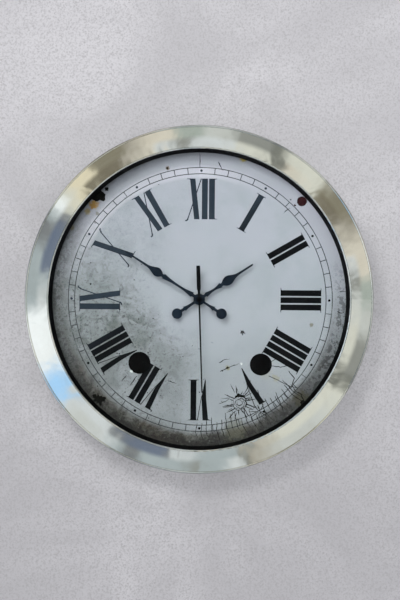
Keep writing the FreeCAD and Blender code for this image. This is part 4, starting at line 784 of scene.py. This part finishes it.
def crack(points, width, wander):
    """A crack as a thin ribbon along points, tapered at its ends and slightly uneven."""
    line = []
    for (x0, z0), (x1, z1) in zip(points, points[1:]):
        pieces = max(2, int(math.hypot(x1 - x0, z1 - z0) / CRACK_STEP))
        for number in range(pieces):
            share = number / pieces
            line.append((x0 + (x1 - x0) * share + random.uniform(-wander, wander),
                         z0 + (z1 - z0) * share + random.uniform(-wander, wander)))
    line.append(points[-1])
    left, right = [], []
    for number, (x, z) in enumerate(line):
        ahead = line[min(number + 1, len(line) - 1)]
        behind = line[max(number - 1, 0)]
        dx, dz = ahead[0] - behind[0], ahead[1] - behind[1]
        length = math.hypot(dx, dz) or 1.0
        share = number / (len(line) - 1)
        taper = 0.25 + 0.75 * math.sin(math.pi * min(1.0, share + 0.15)) ** 0.5
        half = width / 2 * taper * random.uniform(0.6, 1.2)
        left.append((x - dz / length * half, z + dx / length * half))
        right.append((x + dz / length * half, z - dx / length * half))
    return [[left[number], left[number + 1], right[number + 1], right[number]]
            for number in range(len(line) - 1)]


def burst(centre, inner, outer, count, width):
    """Short cracks that radiate from a spot, all in millimetres."""
    ribbons = []
    for number in range(count):
        turn = FULL_TURN * (number + random.uniform(-0.3, 0.3)) / count
        start = inner * random.uniform(0.8, 1.1)
        end = outer * random.uniform(0.7, 1.15)
        bend = turn + random.uniform(-0.25, 0.25)
        points = [(centre[0] + start * math.sin(turn), centre[1] + start * math.cos(turn)),
                  (centre[0] + end * math.sin(bend), centre[1] + end * math.cos(bend))]
        ribbons += crack(millimetres(points), width * MM, 0.15 * MM)
    return ribbons


def rim_cracks():
    """Fine cracks across the stained rim, from six o'clock back to half past four."""
    ribbons = []
    for number in range(RIM_CRACKS):
        angle = RIM_CRACK_START - RIM_CRACK_STEP * number
        bends = ((random.uniform(100, 109), 0), (114, 0.6), (random.uniform(119, 126), -0.4))
        points = [on_dial(reach * MM, angle + bend) for reach, bend in bends]
        ribbons += crack(points, 0.62 * MM, 0.25 * MM)
    return ribbons


def flower():
    """Rings, a crown and a coil of cracks round one spot."""
    x, z = FLOWER
    ribbons = []
    for radius, width in FLOWER_RINGS:
        ring = circle_points((x * MM, z * MM), radius * MM, 20, 0.12)
        ribbons += crack(ring + ring[:1], width * MM, 0.2 * MM)
    turns = [number / 10 for number in range(-7, 14, 3)]
    crown = [(x + CROWN_RADIUS * math.sin(turn), z + CROWN_RADIUS * math.cos(turn)) for turn in turns]
    ribbons += crack(millimetres(crown), 2.4 * MM, 0.4 * MM)
    turns = [number / 3 for number in range(34)]
    coil = [(x + (2.0 + 0.55 * turn) * math.cos(turn), z - (1.0 + 0.5 * turn) * math.sin(turn))
            for turn in turns]
    return ribbons + crack(millimetres(coil), 0.5 * MM, 0.25 * MM)


def blots(table):
    """The uneven discs of a table."""
    return [circle_points((x * MM, z * MM), radius * MM, corners, ragged)
            for x, z, radius, corners, ragged in table]


def dial_wear():
    """Chips, spots and cracks in the print."""
    soot = flat_wear("soot chips", srgb(8, 8, 7), srgb(24, 24, 21))
    ribbons = []
    for route in CRACKS:
        ribbons += crack(millimetres(route), CRACK_WIDTH * MM, CRACK_WANDER * MM)
    for place, inner, outer, count, width in BURSTS:
        ribbons += burst(place, inner, outer, count, width)
    ribbons += rim_cracks()
    ribbons += flower()
    print_piece("dial_cracks", ribbons, soot)
    print_piece("maroon_spot", blots(SPOTS), flat_wear("maroon spot", srgb(30, 12, 14), srgb(70, 34, 38)))
    chips = blots(CHIPS)
    for _ in range(SPECKS):
        angle = random.gauss(SPECK_ANGLE, SPECK_SPREAD)
        reach = SPECK_REACH * math.sqrt(random.uniform(0.08, 1.0))
        chips.append(circle_points(on_dial(reach, angle), random.uniform(0.22, 0.6) * MM, 7, 0.4))
    print_piece("dial_chips", chips, soot)
    bare = flat_wear("bare ground", srgb(200, 205, 206), srgb(226, 229, 230))
    print_piece("bare_flakes", blots(FLAKES), bare)


# ---------------------------------------------------------------- materials on the CAD nodes

def dress(material, *nodes):
    """Puts a material on CAD nodes."""
    for node in nodes:
        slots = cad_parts[node].material_slots
        if not slots:
            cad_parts[node].data.materials.append(material)
        for slot in slots:
            slot.link = "OBJECT"
            slot.material = material


def dress_frame():
    """A material for every CAD node."""
    dress(polished_bezel(), "bezel_ring")
    dress(pan_paint(), "case_shell")
    dress(glass(), "glass_lens")
    dress(moulding("gasket rubber", (0.012, 0.012, 0.012), 0.6), "glass_gasket", "rubber_washer")
    dress(moulding("spacer black", (0.0015, 0.0015, 0.002), 0.6, grain=900.0, relief=0.03 * MM, dust=0.002,
                   shine=0.05), "spacer_ring")
    dress(dial_surface(), "dial_plate")
    dress(hardboard(), "dial_backing")
    dress(metal("zinc plate", (0.62, 0.62, 0.60), 0.32), "case_screws", "hanger_plate", "hanger_rivets",
          "movement_screws")
    dress(moulding("housing plastic", srgb(34, 35, 37), 0.42, grain=2200.0), "movement_front_case",
          "movement_rear_case", "train_plate", "setting_knob")
    dress(metal("turned brass", (0.66, 0.47, 0.19), 0.26), "centre_bush")
    dress(metal("blackened brass", (0.035, 0.042, 0.05), 0.38), "minute_pipe", "hour_hand_bush",
          "minute_hand_bush")
    dress(moulding("painted nut", srgb(168, 172, 176), 0.55, grain=900.0, dust=0.1), "dial_washer", "hex_nut")
    dress(metal("soft iron", (0.36, 0.36, 0.37), 0.4), "stator", "coil_core")
    dress(moulding("bobbin plastic", srgb(222, 214, 192), 0.36), "coil_bobbin")
    dress(winding(), "coil_winding")
    dress(circuit(), "circuit_board")
    dress(moulding("cast resin", (0.01, 0.01, 0.012), 0.2, grain=600.0, dust=0.04, coat=0.4), "ic_chip")
    dress(metal("crystal can", (0.72, 0.72, 0.70), 0.18), "quartz_crystal")
    dress(metal("nickel plate", (0.68, 0.66, 0.60), 0.22), "positive_contact", "negative_contact",
          "clutch_spring", "battery_can", "battery_cap")
    dress(moulding("acetal", srgb(226, 224, 214), 0.34, grain=1500.0, relief=0.01 * MM, dust=0.05),
          "rotor_pinion", "fifth_wheel", "second_wheel", "third_wheel", "centre_wheel", "motion_wheel",
          "hour_wheel")
    dress(moulding("ferrite", (0.03, 0.03, 0.034), 0.55, grain=3000.0, relief=0.03 * MM), "rotor_magnet")
    dress(battery_wrap(), "battery_sleeve")
    dress(blued_steel(), "hour_hand", "minute_hand")
    dress(black_lacquer(), "second_hand", "second_hand_cap")


# ---------------------------------------------------------------- studio

def backdrop_material():
    """Plain pale plaster, partly lit by itself; seen from behind, the wall isn't there."""
    made = Shader("pale wall")
    trowel = made.noise(7.0, 6.0, 0.6, 0.6)
    grit = made.noise(620.0, 5.0, 0.7)
    tone = made.mix(made.step(trowel, 0.35, 0.7), srgb(165, 164, 167), srgb(181, 180, 183))
    tone = made.mix(made.step(grit, 0.42, 0.70), tone, srgb(152, 151, 153))
    # Painted light: the wall glows by itself, brighter towards the top, which thins the clock's shadow on it
    glow = made.span(made.step(made.axes()[2], -200 * MM, 200 * MM), 0.56, 0.79)
    made.set(Base_Color=tone, Roughness=0.9, Specular_IOR_Level=0.1, Emission_Color=tone,
             Emission_Strength=glow)
    made.bump(made.plus(made.times(grit, 0.3), trowel), 0.5 * MM)
    made.clear_where(made.node("NewGeometry").outputs["Backfacing"], (1.0, 1.0, 1.0))
    return made.material


def stage_plane(name, corners, material):
    """A flat sheet of the studio."""
    mesh = bmesh.new()
    mesh.faces.new([mesh.verts.new(corner) for corner in corners])
    plane = add_object(name, mesh, material)
    plane.visible_glossy = False


def studio_world():
    """Soft pale light, with broad tinted cards that only polished metal mirrors."""
    world = bpy.data.worlds.new("studio")
    world.use_nodes = True
    bpy.context.scene.world = world
    made = Nodes(world.node_tree, "Background", "Generated")
    x, y, z = made.axes()
    turn = made.dial_turn(x, z)
    tilt = made.calc("ARCCOSINE", made.times(y, -1.0))

    def cards(*halves):
        """Cards of (dial angle, tone) stops, a ramp for each half turn."""
        ramps = [made.ramp(turn, *[(angle / 360, tone) for angle, tone in stops]) for stops in halves]
        return made.mix(made.step(turn, 0.4999, 0.5001), *ramps)

    white, mist, pale = srgb(243, 249, 250), srgb(201, 207, 208), srgb(190, 194, 190)
    sage, cream, sand = srgb(156, 166, 158), srgb(206, 207, 195), srgb(218, 209, 180)
    beige, taupe, khaki = srgb(208, 202, 186), srgb(162, 157, 144), srgb(119, 113, 92)
    umber, grey, smoke = srgb(102, 94, 74), srgb(130, 132, 126), srgb(96, 98, 90)
    slate, steel, sky = srgb(87, 100, 122), srgb(109, 113, 116), srgb(161, 208, 248)
    cloud, dark, room = srgb(157, 168, 171), srgb(9, 9, 10), srgb(104, 106, 110)
    # The bezel's outer face mirrors the outer cards, and the part nearer the glass the inner ones
    outer = cards(
        ((0, sage), (3, pale), (10, pale), (15, grey), (24, grey), (28, smoke), (33, cream), (45, cream),
         (51, khaki), (60, khaki), (65, taupe), (72, beige), (81, beige), (85, sage), (91, sage),
         (95, pale), (100, pale), (106, grey), (116, grey), (119, smoke), (124, cream), (136, pale),
         (150, pale), (161, taupe), (163, smoke), (165, mist), (169, mist), (172, cloud)),
        ((180, grey), (186, cloud), (199, cloud), (203, steel), (206, steel), (209, cloud), (214, mist),
         (226, pale), (231, mist), (236, sky), (242, sky), (247, white), (263, white), (269, cloud),
         (286, cloud), (292, steel), (297, steel), (300, cloud), (304, white), (308, cream), (313, sand),
         (319, sand), (321, khaki), (332, khaki), (336, taupe), (342, beige), (350, beige), (354, sage)))
    inner = cards(
        ((0, mist), (12, mist), (15, cream), (23, cream), (28, smoke), (31, smoke), (35, beige),
         (45, cream), (49, khaki), (53, umber), (58, umber), (64, taupe), (72, beige), (79, mist),
         (82, grey), (85, grey), (90, pale), (101, cream), (111, cream), (118, smoke), (121, smoke),
         (125, cream), (146, cream), (160, taupe), (163, grey), (166, cloud)),
        ((180, cloud), (187, mist), (191, steel), (195, slate), (207, slate), (211, steel), (215, mist),
         (231, mist), (236, sky), (242, sky), (247, white), (263, white), (269, mist), (278, cloud),
         (282, slate), (298, slate), (302, steel), (305, cream), (312, sand), (316, khaki), (321, umber),
         (328, umber), (334, taupe), (342, beige), (348, mist), (353, grey), (356, grey), (359, mist)))

    def tilted(start, end):
        """How far the direction has tilted away from the viewer's, between two angles."""
        return made.step(tilt, math.radians(start), math.radians(end))

    mirrored = made.mix(tilted(*INNER_TO_OUTER), inner, outer)
    mirrored = made.mix(made.span(made.noise(2.6, 5.0, 0.6, 0.8), 0.0, 0.22), mirrored, pale)
    mirrored = made.mix(1.0, mirrored, (MIRROR_GAIN, MIRROR_GAIN, MIRROR_GAIN), "MULTIPLY")
    mirrored = made.mix(tilted(*DARK_MIDDLE), mirrored, dark)
    mirrored = made.mix(tilted(*ROOM_EDGE), mirrored, room)
    path = made.node("LightPath").outputs
    light = made.mix(path["Is Glossy Ray"], srgb(126, 128, 132), mirrored)
    # The glass would mirror the room's light over the dial: what it alone mirrors is dark
    ghost = made.step(path["Diffuse Depth"], 0.6, 0.4)
    light = made.cover(light, dark, path["Is Transmission Ray"], ghost)
    light = made.mix(path["Is Camera Ray"], light, srgb(222, 222, 226))
    made.set(Color=light, Strength=1.0)


def soft_light(name, place, size, power, colour):
    """A square soft box aimed at the clock, not mirrored in it."""
    data = bpy.data.lights.new(name, "AREA")
    data.size = size
    data.energy = power
    data.color = colour
    lamp = bpy.data.objects.new(name, data)
    lamp.location = place
    lamp.rotation_euler = (-lamp.location).to_track_quat("-Z", "Y").to_euler()
    lamp.visible_glossy = False
    bpy.context.scene.collection.objects.link(lamp)


def studio():
    """Wall, floor, lights and camera."""
    studio_world()
    material = backdrop_material()
    reach = WALL_REACH
    stage_plane("wall", [(-reach, WALL_GAP, FLOOR_LEVEL), (reach, WALL_GAP, FLOOR_LEVEL),
                         (reach, WALL_GAP, reach), (-reach, WALL_GAP, reach)], material)
    stage_plane("floor", [(-reach, -reach, FLOOR_LEVEL), (reach, -reach, FLOOR_LEVEL),
                          (reach, reach, FLOOR_LEVEL), (-reach, reach, FLOOR_LEVEL)], material)
    for name, settings in LAMPS.items():
        soft_light(name, *settings)
    data = bpy.data.cameras.new("camera")
    data.sensor_fit = "HORIZONTAL"
    data.sensor_width = SENSOR_WIDTH
    data.lens = SENSOR_WIDTH * CAMERA_DISTANCE / FRAME_WIDTH
    data.clip_end = 50.0
    camera = bpy.data.objects.new("camera", data)
    camera.location = (CAMERA_ASIDE, -CAMERA_DISTANCE, -CAMERA_BELOW)
    camera.rotation_euler = (math.radians(90), 0, 0)
    bpy.context.scene.collection.objects.link(camera)
    bpy.context.scene.camera = camera
    bpy.context.scene.view_settings.view_transform = "Standard"


studio()
dress_frame()
numerals()
minute_track()
printed_holes()
dial_wear()
